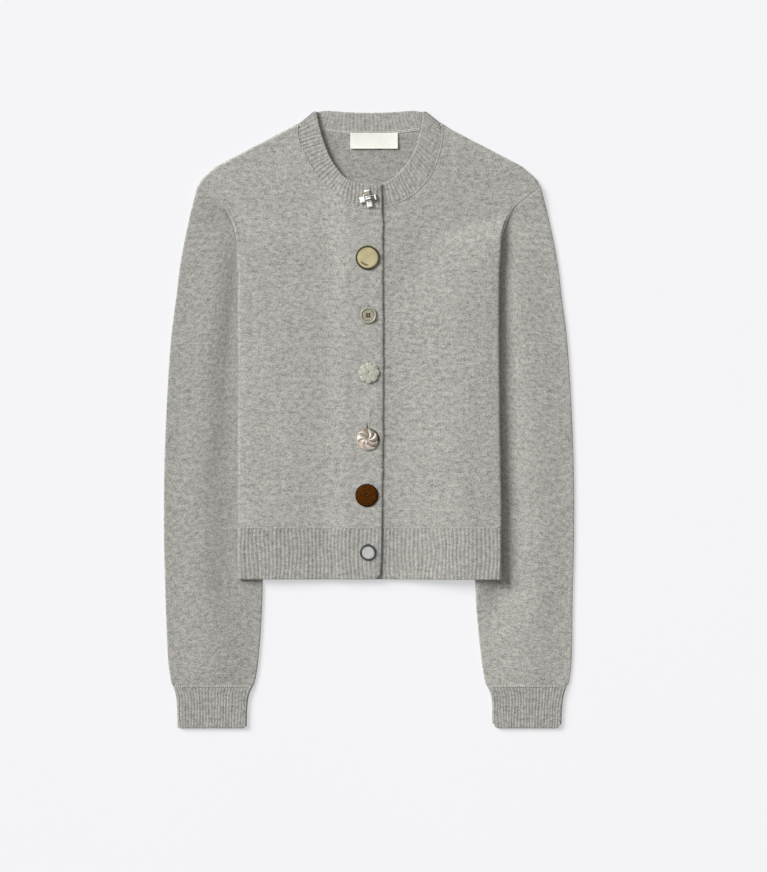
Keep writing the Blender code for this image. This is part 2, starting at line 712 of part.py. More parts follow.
def hem_wall(name, inner, outer, parts, corner_x=None):
    """A hem band from its two faces in the x-z plane, carried from the bottom to the seam.

    corner_x is the x of a rounded lower corner, where the free edge rises.
    """
    lines = []
    for face in (outer, inner):
        rise = np.zeros(face.shape[1])
        if corner_x is not None:
            reach = np.clip(1 - np.abs(face[0] - corner_x) / HEM_CORNER, 0, 1)
            rise = HEM_CORNER_RISE * (1 - np.sqrt(1 - reach**2))
        for y in (HEM_BOTTOM + rise, np.full(face.shape[1], HEM_SEAM - SEAM_GAP / 2)):
            lines.append(np.stack([face[0], y, face[1]], axis=-1))
    return band_wall(name, *lines, parts)


def make_back_hem(parts):
    """The rib band under the back: plain on its under face, which rests on the surface."""
    middle = (HEM_BOTTOM + HEM_SEAM) / 2
    fold_x = BODY_HALF_WIDTH - RIB_FOLD_RADIUS
    half_x = fold_x * (1 - np.array(HALF_BACK_COLUMNS))
    flat_x = np.concatenate([-half_x, [0.0], half_x[::-1]])
    under = back_underside(flat_x, middle)
    right_centre, left_centre = back_underside(np.array([-fold_x, fold_x]), middle) + RIB_FOLD_RADIUS
    faces = []
    for radius, height in ((RIB_FOLD_RADIUS - RIB_WALL, RIB_WALL), (RIB_FOLD_RADIUS, 0.0)):
        out, down = fold_arc(radius)
        down[-1] += LAYER_GAP / 2
        side_x = fold_x + out
        x = np.concatenate([-side_x[::-1], flat_x, side_x])
        z = np.concatenate([right_centre - down[::-1], under + height, left_centre - down])
        faces.append(np.stack([x, z]))
    return hem_wall("hem_back", *faces, parts)


def make_cuff(name, side, parts):
    """One rib cuff: a flattened tube, ribbed on top and plain where it rests."""
    radius = RIB_FOLD_RADIUS
    inner_radius = radius - RIB_WALL
    width = (CUFF_OUTER[0] - CUFF_INNER[0]) * MM - 2 * radius
    count = half_pitches(width, CUFF_RIB_PITCH)
    share_top = np.linspace(0, 1, count)
    share_under = np.linspace(1, 0, CUFF_UNDER_POINTS)
    turn_out, turn_up = np.cos(HALF_TURN), np.sin(HALF_TURN)
    flat = np.zeros(CUFF_UNDER_POINTS)
    share = np.concatenate([share_top, np.ones(len(turn_out)), share_under, np.zeros(len(turn_out))])
    out = np.concatenate([np.zeros(count), turn_out, flat, -turn_out])
    up = np.concatenate([np.ones(count), turn_up, flat - 1, -turn_up])
    thickness = np.concatenate([rib_height(count), np.full(len(share) - count, RIB_WALL)])
    corner = np.minimum(share, 1 - share) * width / CUFF_CORNER
    rise = CUFF_CORNER_RISE * (1 - smooth_step(corner))
    lines = []
    for face_radius in (inner_radius + thickness, np.full(len(share), inner_radius)):
        for end, y in ((1, CUFF_BOTTOM + rise), (0, np.full(len(share), CUFF_SEAM - SEAM_GAP))):
            start_x = CUFF_OUTER[end] * MM - radius
            end_x = CUFF_INNER[end] * MM + radius
            x = side * (start_x + share * (end_x - start_x) - out * face_radius)
            lines.append(np.stack([x, y, radius + up * face_radius], axis=-1))
    return band_wall(name, *lines, parts, closed=True)


def band_half(rows, count):
    """Free edge and seam points along part of the neckband."""
    line = smooth_curve(np.array(rows), np.linspace(0, 1, count))
    return line[:, :2], line[:, 2:]


def fold_out(row, side):
    """The direction in which the neckband's fold at one shoulder faces."""
    along = np.array(row[:2]) - np.array(row[2:])
    along = along / np.linalg.norm(along)
    return np.array([side * abs(along[1]), abs(along[0])])


def neckband_part(rows, height_of, over_back):
    """Lines of one stretch of the band: outer edge, outer seam, inner edge, inner seam."""
    rows = np.array(rows) * MM
    count = half_pitches(curve_length((rows[:, :2] + rows[:, 2:]) / 2), RIB_PITCH)
    thickness = rib_height(count)
    lines = []
    for plan in band_half(rows, count):
        base = height_of(plan[:, 0], plan[:, 1])
        inner = base + thickness if over_back else base
        outer = base if over_back else base + thickness
        lines.append((np.column_stack([plan, outer]), np.column_stack([plan, inner])))
    (outer_edge, inner_edge), (outer_seam, inner_seam) = lines
    return outer_edge, outer_seam, inner_edge, inner_seam


def neckband_fold(row, side, downwards):
    """The half turn of the band round its shoulder fold, from the front to the back."""
    radius = RIB_FOLD_RADIUS
    out = fold_out(row, side)
    angles = HALF_TURN if downwards else HALF_TURN[::-1]
    lines = []
    for face_radius in (radius, radius - RIB_WALL):
        for place in (np.array(row[:2]) * MM, np.array(row[2:]) * MM):
            plan = place + out * (face_radius * np.cos(angles)[:, None] - radius)
            lines.append(np.column_stack([plan, radius + face_radius * np.sin(angles)]))
    return lines


def inset_row(row, side):
    """The fold's row moved in by the fold's radius."""
    inward = -fold_out(row, side) * RIB_FOLD_RADIUS / MM
    return (row[0] + inward[0], row[1] + inward[1], row[2] + inward[0], row[3] + inward[1])


def make_neckband(parts):
    """The neckband: right front, turned over the shoulder, back neck, turned again, left front."""
    right_fold = BAND_BACK[0]
    left_fold = BAND_BACK[-1]
    right_front = BAND_RIGHT_FRONT[:-1] + (inset_row(right_fold, -1),)
    left_front = BAND_LEFT_FRONT[:-1] + (inset_row(left_fold, 1),)
    back = (inset_row(right_fold, -1),) + BAND_BACK[1:-1] + (inset_row(left_fold, 1),)
    stretches = (
        neckband_part(right_front, lambda x, y: front_underside(x, y, True), False),
        neckband_fold(right_fold, -1, True),
        neckband_part(back, back_underside, True),
        neckband_fold(left_fold, 1, False),
        neckband_part(left_front[::-1], lambda x, y: front_underside(x, y, False), False),
    )
    lines = [np.vstack(pieces) for pieces in zip(*stretches)]
    return band_wall("neckband", *lines, parts)


def make_label(parts):
    """The woven label inside the back neck, with nothing on it."""
    bpy.ops.mesh.primitive_cube_add(size=1)
    label = bpy.context.object
    label.name = "neck_label"
    label.data.name = "neck_label"
    move = Matrix.Translation((*LABEL_CENTRE, WALL + LAYER_GAP + LABEL_SIZE[2] / 2))
    label.data.transform(move @ Matrix.Diagonal((*LABEL_SIZE, 1.0)))
    label.data.materials.append(material_of(LABEL_CLOTH))
    bevel = label.modifiers.new("edges", "BEVEL")
    bevel.width = 0.2 * MM
    bevel.segments = 1
    for collection in label.users_collection:
        collection.objects.unlink(label)
    parts.objects.link(label)
    return label


# Buttons


def turned(name, profile, material, parts, steps=ROUND_STEPS):
    """A turned solid: its profile (radius, height), from the top of the axis to its foot."""
    points = [(radius, 0.0, height) for radius, height in profile]
    edges = [(index, index + 1) for index in range(len(points) - 1)]
    mesh = bpy.data.meshes.new(name)
    mesh.from_pydata(points, edges, [])
    mesh.materials.append(material_of(material))
    obj = bpy.data.objects.new(name, mesh)
    parts.objects.link(obj)
    screw = obj.modifiers.new("turn", "SCREW")
    screw.steps = steps
    screw.render_steps = steps
    screw.use_merge_vertices = True
    screw.merge_threshold = 0.00001
    screw.use_smooth_shade = True
    return obj


def shank(bottom):
    """The foot of a button's profile: from its back down through the buttonhole."""
    return [(SHANK_RADIUS, 0.0), (SHANK_RADIUS, bottom), (0.0, bottom)]


def scaled(rows, radius):
    """Profile points from rows of radius, as a share of the button's, and height in millimetres."""
    return [(share * radius, height * MM) for share, height in rows]


def crown_profile(radius, foot, rise, steps):
    """Profile points of a quarter ellipse that stands on its foot; heights in millimetres."""
    angles = np.linspace(0, math.pi / 2, steps)
    return [(radius * math.sin(a), (foot + rise * math.cos(a)) * MM) for a in angles]


def dome_profile(radius, bottom):
    """A domed button with a flat rim round it."""
    crown = crown_profile(radius * 0.78, 1.3, 4.6, 7)
    rim = ((0.84, 1.0), (0.93, 2.1), (1.0, 1.5), (0.97, 0.5), (0.88, 0.0))
    return crown + scaled(rim, radius) + shank(bottom)


def horn_profile(radius, bottom):
    """A small flat button, dished inside a raised round rim."""
    face = [(0.0, HORN_FACE), (radius * 0.48, HORN_FACE)]
    rim = ((0.62, 2.1), (0.8, 2.9), (0.94, 2.5), (1.0, 1.6), (0.92, 0.4), (0.7, 0.0))
    return face + scaled(rim, radius) + shank(bottom)


def leather_profile(radius, bottom):
    """A low dome with rings round it and a small stud in the middle."""
    stud = ((0.0, 4.2), (0.1, 4.0), (0.13, 3.5))
    rings = ((0.2, 3.9), (0.35, 3.75), (0.385, 3.35), (0.5, 3.6), (0.65, 3.45), (0.685, 3.05))
    rim = ((0.88, 2.6), (0.97, 1.9), (1.0, 1.2), (0.93, 0.3), (0.8, 0.0))
    return scaled(stud + rings + rim, radius) + shank(bottom)


def cabochon_profile(radius, bottom):
    """A smooth round stone in a stepped metal rim."""
    crown = crown_profile(radius * 0.66, 1.9, 2.6, 6)
    rim = ((0.76, 2.6), (0.9, 2.2), (1.0, 1.2), (0.94, 0.3), (0.8, 0.0))
    return crown + scaled(rim, radius) + shank(bottom)


def rings_solid(name, rings, parts, material):
    """A solid from closed rings of points, top to bottom, with its first and last ring capped."""
    rings = np.array(rings)
    count, around = rings.shape[:2]
    points = rings.reshape(-1, 3)
    faces = grid_faces(count, around, closed=True)
    faces.append(tuple(range(around)))
    faces.append(tuple((count - 1) * around + index for index in range(around))[::-1])
    solid = object_from(name, points, faces, parts, material)
    face_outwards(solid)
    return solid


def round_ring(radius, height, angles):
    """A ring of points; radius and height may be numbers or one for each angle."""
    ones = np.ones_like(angles)
    return np.stack([radius * np.cos(angles), radius * np.sin(angles), height * ones], axis=-1)


def make_flower(name, radius, bottom, parts):
    """A round button with soft petals round its edge and a dimple in the middle."""
    angles = np.linspace(0, 2 * math.pi, 3 * FLOWER_PETALS, endpoint=False)
    petal = np.abs(np.cos(angles * FLOWER_PETALS / 2))
    edge = radius * (0.92 + 0.08 * petal)
    rings = [
        round_ring(radius * 0.06, 2.6 * MM, angles),
        round_ring(radius * 0.16, 3.2 * MM, angles),
        round_ring(edge * 0.45, (3.3 + 0.4 * petal) * MM, angles),
        round_ring(edge * 0.8, (2.6 + 0.7 * petal) * MM, angles),
        round_ring(edge, 1.4 * MM, angles),
        round_ring(edge * 0.9, 0.0, angles),
        round_ring(SHANK_RADIUS, 0.0, angles),
        round_ring(SHANK_RADIUS, bottom, angles),
    ]
    return rings_solid(name, rings, parts, PEARL)


def make_pinwheel(name, radius, bottom, parts):
    """A moulded glass button with raised blades that lean round its middle."""
    angles = np.linspace(0, 2 * math.pi, 2 * PINWHEEL_BLADES, endpoint=False)
    raised = np.arange(len(angles)) % 2 == 0
    rings = [
        round_ring(radius * 0.1, 3.4 * MM, angles + 2 * PINWHEEL_LEAN),
        round_ring(radius * 0.28, (3.9 + 0.5 * raised) * MM, angles + 1.4 * PINWHEEL_LEAN),
        round_ring(radius * 0.58, (3.0 + 1.2 * raised) * MM, angles + 0.7 * PINWHEEL_LEAN),
        round_ring(radius * 0.86, (1.9 + 1.0 * raised) * MM, angles),
        round_ring(radius, 1.2 * MM, angles),
        round_ring(radius * 0.9, 0.0, angles),
        round_ring(SHANK_RADIUS, 0.0, angles),
        round_ring(SHANK_RADIUS, bottom, angles),
    ]
    return rings_solid(name, rings, parts, ROSE_GLASS)


def make_crystal(name, radius, bottom, parts):
    """A square setting: a middle stone with a cut stone on each side of it."""
    plate = scaled(((0.0, 1.8), (0.72, 1.8), (0.8, 0.9), (0.72, 0.0)), radius)
    setting = turned(name, plate + shank(bottom), CLEAR_STONES, parts, SETTING_STEPS)
    half_diagonal = math.sqrt(0.5)
    for index, (x, y, wide, deep, high) in enumerate(STONES):
        size = Matrix.Diagonal((wide * radius, deep * radius, high * MM, 1.0))
        place = Matrix.Translation((x * radius, y * radius, STONE_FOOT + high * MM / 2))
        stone = prism(f"stone_{index}", 4, half_diagonal, STONE_TAPER * half_diagonal, place @ size)
        stone.parent = setting
        combine(setting, stone, "UNION")
    return setting


def make_horn(name, radius, bottom, parts):
    """The small dished button, with four holes sunk into its face."""
    button = turned(name, horn_profile(radius, bottom), DARK_HORN, parts)
    for index in range(4):
        angle = math.pi / 4 + index * math.pi / 2
        reach = HORN_HOLE_SPACING * math.sqrt(0.5)
        place = Matrix.Translation((reach * math.cos(angle), reach * math.sin(angle), HORN_FACE))
        size = Matrix.Diagonal((HORN_HOLE_RADIUS, HORN_HOLE_RADIUS, 2 * HORN_HOLE_DEPTH, 1.0))
        hole = prism(f"horn_hole_{index}", 8, 1.0, 1.0, place @ size)
        hole.parent = button
        combine(button, hole, "DIFFERENCE")
    return button


def prism(name, sides, foot_radius, top_radius, matrix):
    """A hidden prism of height 1 round the Z axis, with a side facing +X, moved by a matrix."""
    helper = bpy.data.objects.new(name, bpy.data.meshes.new(name))
    shape = bmesh.new()
    turn = Matrix.Rotation(math.pi / sides, 4, "Z")
    bmesh.ops.create_cone(
        shape,
        cap_ends=True,
        segments=sides,
        radius1=foot_radius,
        radius2=top_radius,
        depth=1,
        matrix=turn,
    )
    shape.transform(matrix)
    shape.to_mesh(helper.data)
    shape.free()
    helper.hide_render = True
    helper.display_type = "WIRE"
    bpy.data.collections["cutters"].objects.link(helper)
    return helper


def slot_cutter(name, centre, length, height):
    """A straight buttonhole with round ends along Y, as a hidden cutter."""
    radius = BUTTONHOLE_WIDTH / 2
    size = Matrix.Diagonal((1.0, 1.0, height, 1.0))
    cutter = prism(name, 12, radius, radius, size)
    for vertex in cutter.data.vertices:
        vertex.co.y += math.copysign(length / 2 - radius, vertex.co.y)
    cutter.location = centre
    return cutter


def make_button(row, bottom, parts):
    """One button at its own origin, with its back at height 0 and its shank down to bottom."""
    name, _, _, diameter, _, _ = row
    radius = diameter / 2 * MM
    if name == "button_dome":
        return turned(name, dome_profile(radius, bottom), GOLD_METAL, parts)
    if name == "button_leather":
        return turned(name, leather_profile(radius, bottom), BROWN_LEATHER, parts)
    if name == "button_cabochon":
        return turned(name, cabochon_profile(radius, bottom), SILVER_METAL, parts)
    makers = {
        "button_crystal": make_crystal,
        "button_horn": make_horn,
        "button_flower": make_flower,
        "button_pinwheel": make_pinwheel,
    }
    return makers[name](name, radius, bottom, parts)


def cloth_at(y):
    """Which piece carries the buttonhole at this y, and its wall's thickness."""
    if y > BAND_RIGHT_FRONT[0][3] * MM:
        return "neckband", RIB_WALL
    if y < HEM_SEAM:
        return "hem_front_right", RIB_WALL
    return "front_right", WALL


def make_buttons(parts):
    """The seven buttons, each seated on the right front, and the buttonholes under them."""
    under_right = FRONT_LEVEL + PLACKET_RISE
    for row in BUTTONS:
        name, x, y, _, hole_top, hole_length = row
        x = x * MM
        y = y * MM
        cloth, thickness = cloth_at(y)
        seat = under_right + thickness + LAYER_GAP
        shank_foot = FRONT_LEVEL + thickness + SHANK_FOOT_GAP
        button = make_button(row, shank_foot - seat, parts)
        button.location = (x, y, seat)
        hole_y = y + (hole_top - hole_length / 2) * MM
        centre = (x, hole_y, under_right + thickness / 2)
        cutter = slot_cutter("buttonhole_" + name, centre, hole_length * MM, 3 * thickness)
        combine(bpy.data.objects[cloth], cutter, "DIFFERENCE")


def main():
    """Clears the scene and makes every piece."""
    for obj in list(bpy.data.objects):
        bpy.data.objects.remove(obj, do_unlink=True)
    parts = collection_named("button_cardigan")
    collection_named("cutters")
    make_back(parts)
    make_front("front_left", 1, LEFT_FRONT_EDGE, BAND_LEFT_FRONT, LEFT_FRONT_COLUMNS, False, parts)
    make_front("front_right", -1, RIGHT_FRONT_EDGE, BAND_RIGHT_FRONT, RIGHT_FRONT_COLUMNS, True, parts)
    make_sleeve("sleeve_left", 1, parts)
    make_sleeve("sleeve_right", -1, parts)
    make_cuff("cuff_left", 1, parts)
    make_cuff("cuff_right", -1, parts)
    make_back_hem(parts)
    make_front_hem("hem_front_left", 1, LEFT_FRONT_EDGE, False, parts)
    make_front_hem("hem_front_right", -1, RIGHT_HEM_EDGE, True, parts)
    make_neckband(parts)
    make_label(parts)
    make_buttons(parts)


main()
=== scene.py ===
"""Looks of the grey melange button cardigan, laid flat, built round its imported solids.

Metres, with +Z up, the surface it lies on at z = 0, and +Y from the hem to the neck.  The
wearer's right is at -X.  Every knitted piece is a closed wall worked out on a grid: its plan
follows the piece's seams, and its height follows the layer that it lies on.
"""

import logging
import math
from collections.abc import Callable, Sequence
from dataclasses import dataclass, field
from enum import Enum

import bpy
import numpy as np
from mathutils import Matrix, Vector

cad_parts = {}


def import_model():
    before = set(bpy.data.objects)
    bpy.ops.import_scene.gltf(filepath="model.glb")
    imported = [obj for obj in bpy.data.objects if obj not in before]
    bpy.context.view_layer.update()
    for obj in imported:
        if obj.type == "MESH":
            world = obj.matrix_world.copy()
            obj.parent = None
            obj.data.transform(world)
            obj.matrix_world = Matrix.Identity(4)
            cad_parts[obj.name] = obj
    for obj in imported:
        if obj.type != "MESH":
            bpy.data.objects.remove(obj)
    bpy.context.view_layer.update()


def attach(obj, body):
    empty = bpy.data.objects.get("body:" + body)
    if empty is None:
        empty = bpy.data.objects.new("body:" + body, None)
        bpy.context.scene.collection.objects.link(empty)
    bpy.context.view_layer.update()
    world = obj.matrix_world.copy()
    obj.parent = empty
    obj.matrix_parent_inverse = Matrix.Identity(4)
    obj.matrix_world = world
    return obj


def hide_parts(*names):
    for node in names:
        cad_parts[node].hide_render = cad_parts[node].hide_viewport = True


LOG = logging.getLogger("button_cardigan")
Array = np.ndarray
Piece = bpy.types.Object
Material = bpy.types.Material
Rows = tuple[tuple[float, ...], ...]
Colour = tuple[float, float, float]
Fold = tuple[Array, Array]
MM = 0.001
RIM = 0.45 * MM
BODY = "root"
CLOTH_MAP = "cloth"
# Attribute of painted light at each point: painted shade on the knitting, a painted highlight on the label.
PAINTED_LIGHT = "painted_light"


class Side(Enum):
    """The wearer's two sides, as the sign of x."""

    RIGHT = -1
    LEFT = 1


# Curves and small pieces of arithmetic


def in_mm(*rows: Sequence[float]) -> Rows:
    """A table whose rows are given in millimetres, turned to metres."""
    return tuple(tuple(value * MM for value in row) for row in rows)


def read_table(rows: Rows, at: Array) -> Array:
    """The second column of a table where its first is at, straight between its rows."""
    first, second = np.array(rows).T
    return np.interp(at, first, second)


def smooth_step(share: Array | float) -> Array:
    """0 below 0, 1 above 1, and the cubic 3s^2 - 2s^3 between."""
    share = np.clip(share, 0, 1)
    return share * share * (3 - 2 * share)


def ease(value: Array | float, start: float, end: float) -> Array:
    """The smooth climb of the value from 0 at start to 1 at end."""
    return smooth_step((np.asarray(value) - start) / (end - start))


def quarter_round(distance: Array) -> Array:
    """A rounded corner's fall: 1 - sqrt(1 - (1 - d)^2), which is 1 at 0 and 0 from 1 on."""
    return 1 - np.sqrt(1 - np.clip(1 - distance, 0, 1) ** 2)


def run_lengths(points: Array, axis: int = 0) -> Array:
    """Distance travelled along the axis to each point of a run, 0 at the first."""
    steps = np.linalg.norm(np.diff(points, axis=axis), axis=-1)
    start = np.zeros_like(np.take(steps, [0], axis=axis))
    return np.concatenate([start, np.cumsum(steps, axis=axis)], axis=axis)


def read_path(path: Array, places: Array, wanted: Array) -> Array:
    """Points of a path at the wanted places, straight between the places of its own points."""
    return np.stack([np.interp(wanted, places, column) for column in path.T], axis=-1)


def along_path(path: Array, count: int) -> Array:
    """Points at equal steps along a path."""
    length = run_lengths(path)
    return read_path(path, length, np.linspace(0, length[-1], count))


def smooth_curve(rows: Rows | Array, shares: Array) -> Array:
    """Points at equal shares of the arc length of a Catmull-Rom curve through the rows.

    Each stretch b to c, with neighbours a and d, is the cubic
    (2b + (c-a)t + (2a-5b+4c-d)t^2 + (3b-a-3c+d)t^3) / 2.

    Args:
        rows: Points that the curve goes through.
        shares: Wanted shares of its length.

    Returns:
        One point for each share.
    """
    knots = np.asarray(rows, float)
    padded = np.vstack([2 * knots[0] - knots[1], knots, 2 * knots[-1] - knots[-2]])
    t = np.linspace(0, 1, 16, endpoint=False)[None, :, None]
    a, b, c, d = (padded[index : len(padded) - 3 + index][:, None] for index in range(4))
    cubic = 2 * b + (c - a) * t + (2 * a - 5 * b + 4 * c - d) * t**2
    dense = ((cubic + (3 * b - a - 3 * c + d) * t**3) / 2).reshape(-1, knots.shape[1])
    dense = np.vstack([dense, knots[-1:]])
    length = run_lengths(dense)
    return read_path(dense, length, np.asarray(shares, float) * length[-1])


def unit(vectors: Array) -> Array:
    """The vectors, each made 1 long."""
    return vectors / np.maximum(np.linalg.norm(vectors, axis=-1, keepdims=True), 1e-12)


def beside(points: Array, side: int) -> Array:
    """Unit normals of a plan curve, on its left where side is 1 and on its right where -1."""
    along = unit(np.gradient(points, axis=0))
    return side * np.stack([-along[:, 1], along[:, 0]], axis=-1)


def surface_normals(points: Array) -> Array:
    """Unit normals of a grid of points: the cross product of its two gradients."""
    return unit(np.cross(np.gradient(points, axis=1), np.gradient(points, axis=0)))


def mirrored(points: Rows | Array, side: Side) -> Array:
    """The plan points with x turned to one of the wearer's sides."""
    return np.asarray(points) * np.array([side.value, 1.0])


@dataclass(frozen=True)
class Relief:
    """Soft unevenness of cloth that has been laid out by hand: a seeded sum of long waves.

    Height is the sum of cosines of random direction, length and phase, each with an amplitude
    in proportion to its length, scaled so that the whole has the wanted mean size.
    """

    seed: int
    height: float
    shortest: float
    longest: float
    waves: int = 28
    stretch: float = 1.0

    def at(self, x: Array, y: Array) -> Array:
        """Height of the relief, around 0.

        Args:
            x: Places along the courses.
            y: Places along the wales.

        Returns:
            Heights in metres.
        """
        dice = np.random.default_rng(self.seed)
        turn = dice.uniform(0, 2 * math.pi, self.waves)
        span = np.exp(dice.uniform(math.log(self.shortest), math.log(self.longest), self.waves))
        phase = dice.uniform(0, 2 * math.pi, self.waves)
        size = span / np.sqrt((span**2).sum() / 2)
        total = np.zeros(np.broadcast(x, y).shape)
        for angle, length, start, share in zip(turn, span, phase, size):
            along = np.cos(angle) * np.asarray(x) / self.stretch + np.sin(angle) * np.asarray(y)
            total += share * np.cos(2 * math.pi * along / length + start)
        return self.height * total


# Meshes


def mesh_piece(name: str, points: Array, corners: Array, sizes: Array, cloth: Array) -> Piece:
    """A smooth mesh object from arrays.

    Args:
        name: Name of the piece.
        points: Vertices (n, 3), in place.
        corners: Vertex index of every face corner, one after another.
        sizes: Number of corners of each face.
        cloth: Place of each corner on the cloth, in metres, for the map of that name.

    Returns:
        The object, at the origin.
    """
    mesh = bpy.data.meshes.new(name)
    mesh.vertices.add(len(points))
    mesh.vertices.foreach_set("co", np.asarray(points, np.float32).ravel())
    mesh.loops.add(len(corners))
    mesh.loops.foreach_set("vertex_index", np.asarray(corners, np.int32))
    mesh.polygons.add(len(sizes))
    starts = np.concatenate([[0], np.cumsum(sizes)[:-1]])
    mesh.polygons.foreach_set("loop_start", starts.astype(np.int32))
    layer = mesh.uv_layers.new(name=CLOTH_MAP)
    layer.data.foreach_set("uv", np.asarray(cloth, np.float32).ravel())
    mesh.update(calc_edges=True)
    mesh.validate()
    mesh.shade_smooth()
    piece = bpy.data.objects.new(name, mesh)
    bpy.context.scene.collection.objects.link(piece)
    return piece


def outwards(points: Array, quads: Array, *more: Array) -> list[Array]:
    """Turns closed faces over where the volume inside them is negative.

    The volume is the sum over both triangles of each quad of a . (b x c) / 6.

    Args:
        points: Vertices (n, 3).
        quads: Vertex indices (m, 4).
        more: Other faces, or values at the quads' corners, that turn over with them.

    Returns:
        The quads and the others.
    """
    a, b, c, d = (points[quads[:, index]] for index in range(4))
    inside_out = np.einsum("ij,ij->", a, np.cross(b, c) + np.cross(c, d)) < 0
    order = -1 if inside_out else 1
    return [faces[:, ::order] for faces in (quads, *more)]


def grid_cells(rows: int, columns: int, wrap: bool) -> tuple[Array, Array]:
    """Row and column of the four corners of every cell of a grid.

    Args:
        rows: Rows of points.
        columns: Columns of points.
        wrap: Whether the last column joins the first.

    Returns:
        Rows (m, 4) and columns (m, 4); a wrapped column keeps its number past the last.
    """
    row, column = np.mgrid[0 : rows - 1, 0 : columns if wrap else columns - 1]
    near, left = row.ravel(), column.ravel()
    rows_of = np.stack([near, near, near + 1, near + 1], axis=1)
    return rows_of, np.stack([left, left + 1, left + 1, left], axis=1)


def capped_rings(name: str, rings: Array, place: Array) -> Piece:
    """One object from tubes of rings, each closed by a flat face at both ends.

    Args:
        name: Name of the piece.
        rings: Points (tubes, rings, around, 3).
        place: Place of each point on the piece's map (points, 2).

    Returns:
        The object.
    """
    tubes, stations, around = rings.shape[:3]
    base = np.arange(tubes)[:, None] * stations * around
    row, column = grid_cells(stations, around, True)
    quads = (base[..., None] + row * around + column % around).reshape(-1, 4)
    ring = np.arange(around)
    first, last = base + ring[::-1], base + (stations - 1) * around + ring
    points = rings.reshape(-1, 3)
    quads, first, last = outwards(points, quads, first, last)
    corners = np.concatenate([quads.ravel(), first.ravel(), last.ravel()])
    sizes = np.concatenate([np.full(len(quads), 4), np.full(2 * tubes, around)])
    return mesh_piece(name, points, corners, sizes, place[corners])


def strands_piece(name: str, centre: Array, radius: Array | float, around: int = 6) -> Piece:
    """One object from many strands of yarn, each a tube carried along a path.

    Each ring lies square to the path: its two axes are across the path in plan and the cross
    product of that with the path.

    Args:
        name: Name of the piece.
        centre: Paths (strands, stations, 3).
        radius: Radius, at each station where it varies.
        around: Points round each ring.

    Returns:
        The object.
    """
    along = unit(np.gradient(centre, axis=1))
    level = unit(np.stack([1e-9 - along[..., 1], along[..., 0], 0 * along[..., 0]], axis=-1))
    upright = np.cross(along, level)
    angle = np.linspace(0, 2 * math.pi, around, endpoint=False)[:, None]
    spoke = np.cos(angle) * level[:, :, None] + np.sin(angle) * upright[:, :, None]
    radius = np.broadcast_to(radius, centre.shape[:2])[..., None, None]
    travelled = np.repeat(run_lengths(centre, axis=1).ravel(), around)
    turn = np.tile(np.arange(around) / around * MM, centre.shape[0] * centre.shape[1])
    rings = centre[:, :, None] + radius * spoke
    return capped_rings(name, rings, np.stack([turn, travelled], axis=-1))


@dataclass(frozen=True)
class Slit:
    """A buttonhole cut along one grid column of a wall, from its first row to its last."""

    column: int
    first: int
    last: int
    half_width: float

    def opening(self) -> Array:
        """Half width at each row: a lens, widest towards the middle and closed at both tips."""
        share = np.linspace(0, 1, self.last - self.first + 1)
        return self.half_width * np.sin(math.pi * share) ** 0.7

    def spread(self, plan: Array, reach: float = 6 * MM) -> Array:
        """Pushes the cloth away from the slit, less and less until reach.

        Args:
            plan: Grid of plan points (rows, columns, 2).
            reach: Distance from the slit over which the push fades.

        Returns:
            The grid, with the slit's own column left where it was.
        """
        plan = plan.copy()
        rows = slice(self.first, self.last + 1)
        away = plan[rows, :, 0] - plan[rows, self.column, 0][:, None]
        push = np.clip(1 - np.abs(away) / reach, 0, 1) * np.sign(away)
        plan[rows, :, 0] += push * self.opening()[:, None]
        return plan


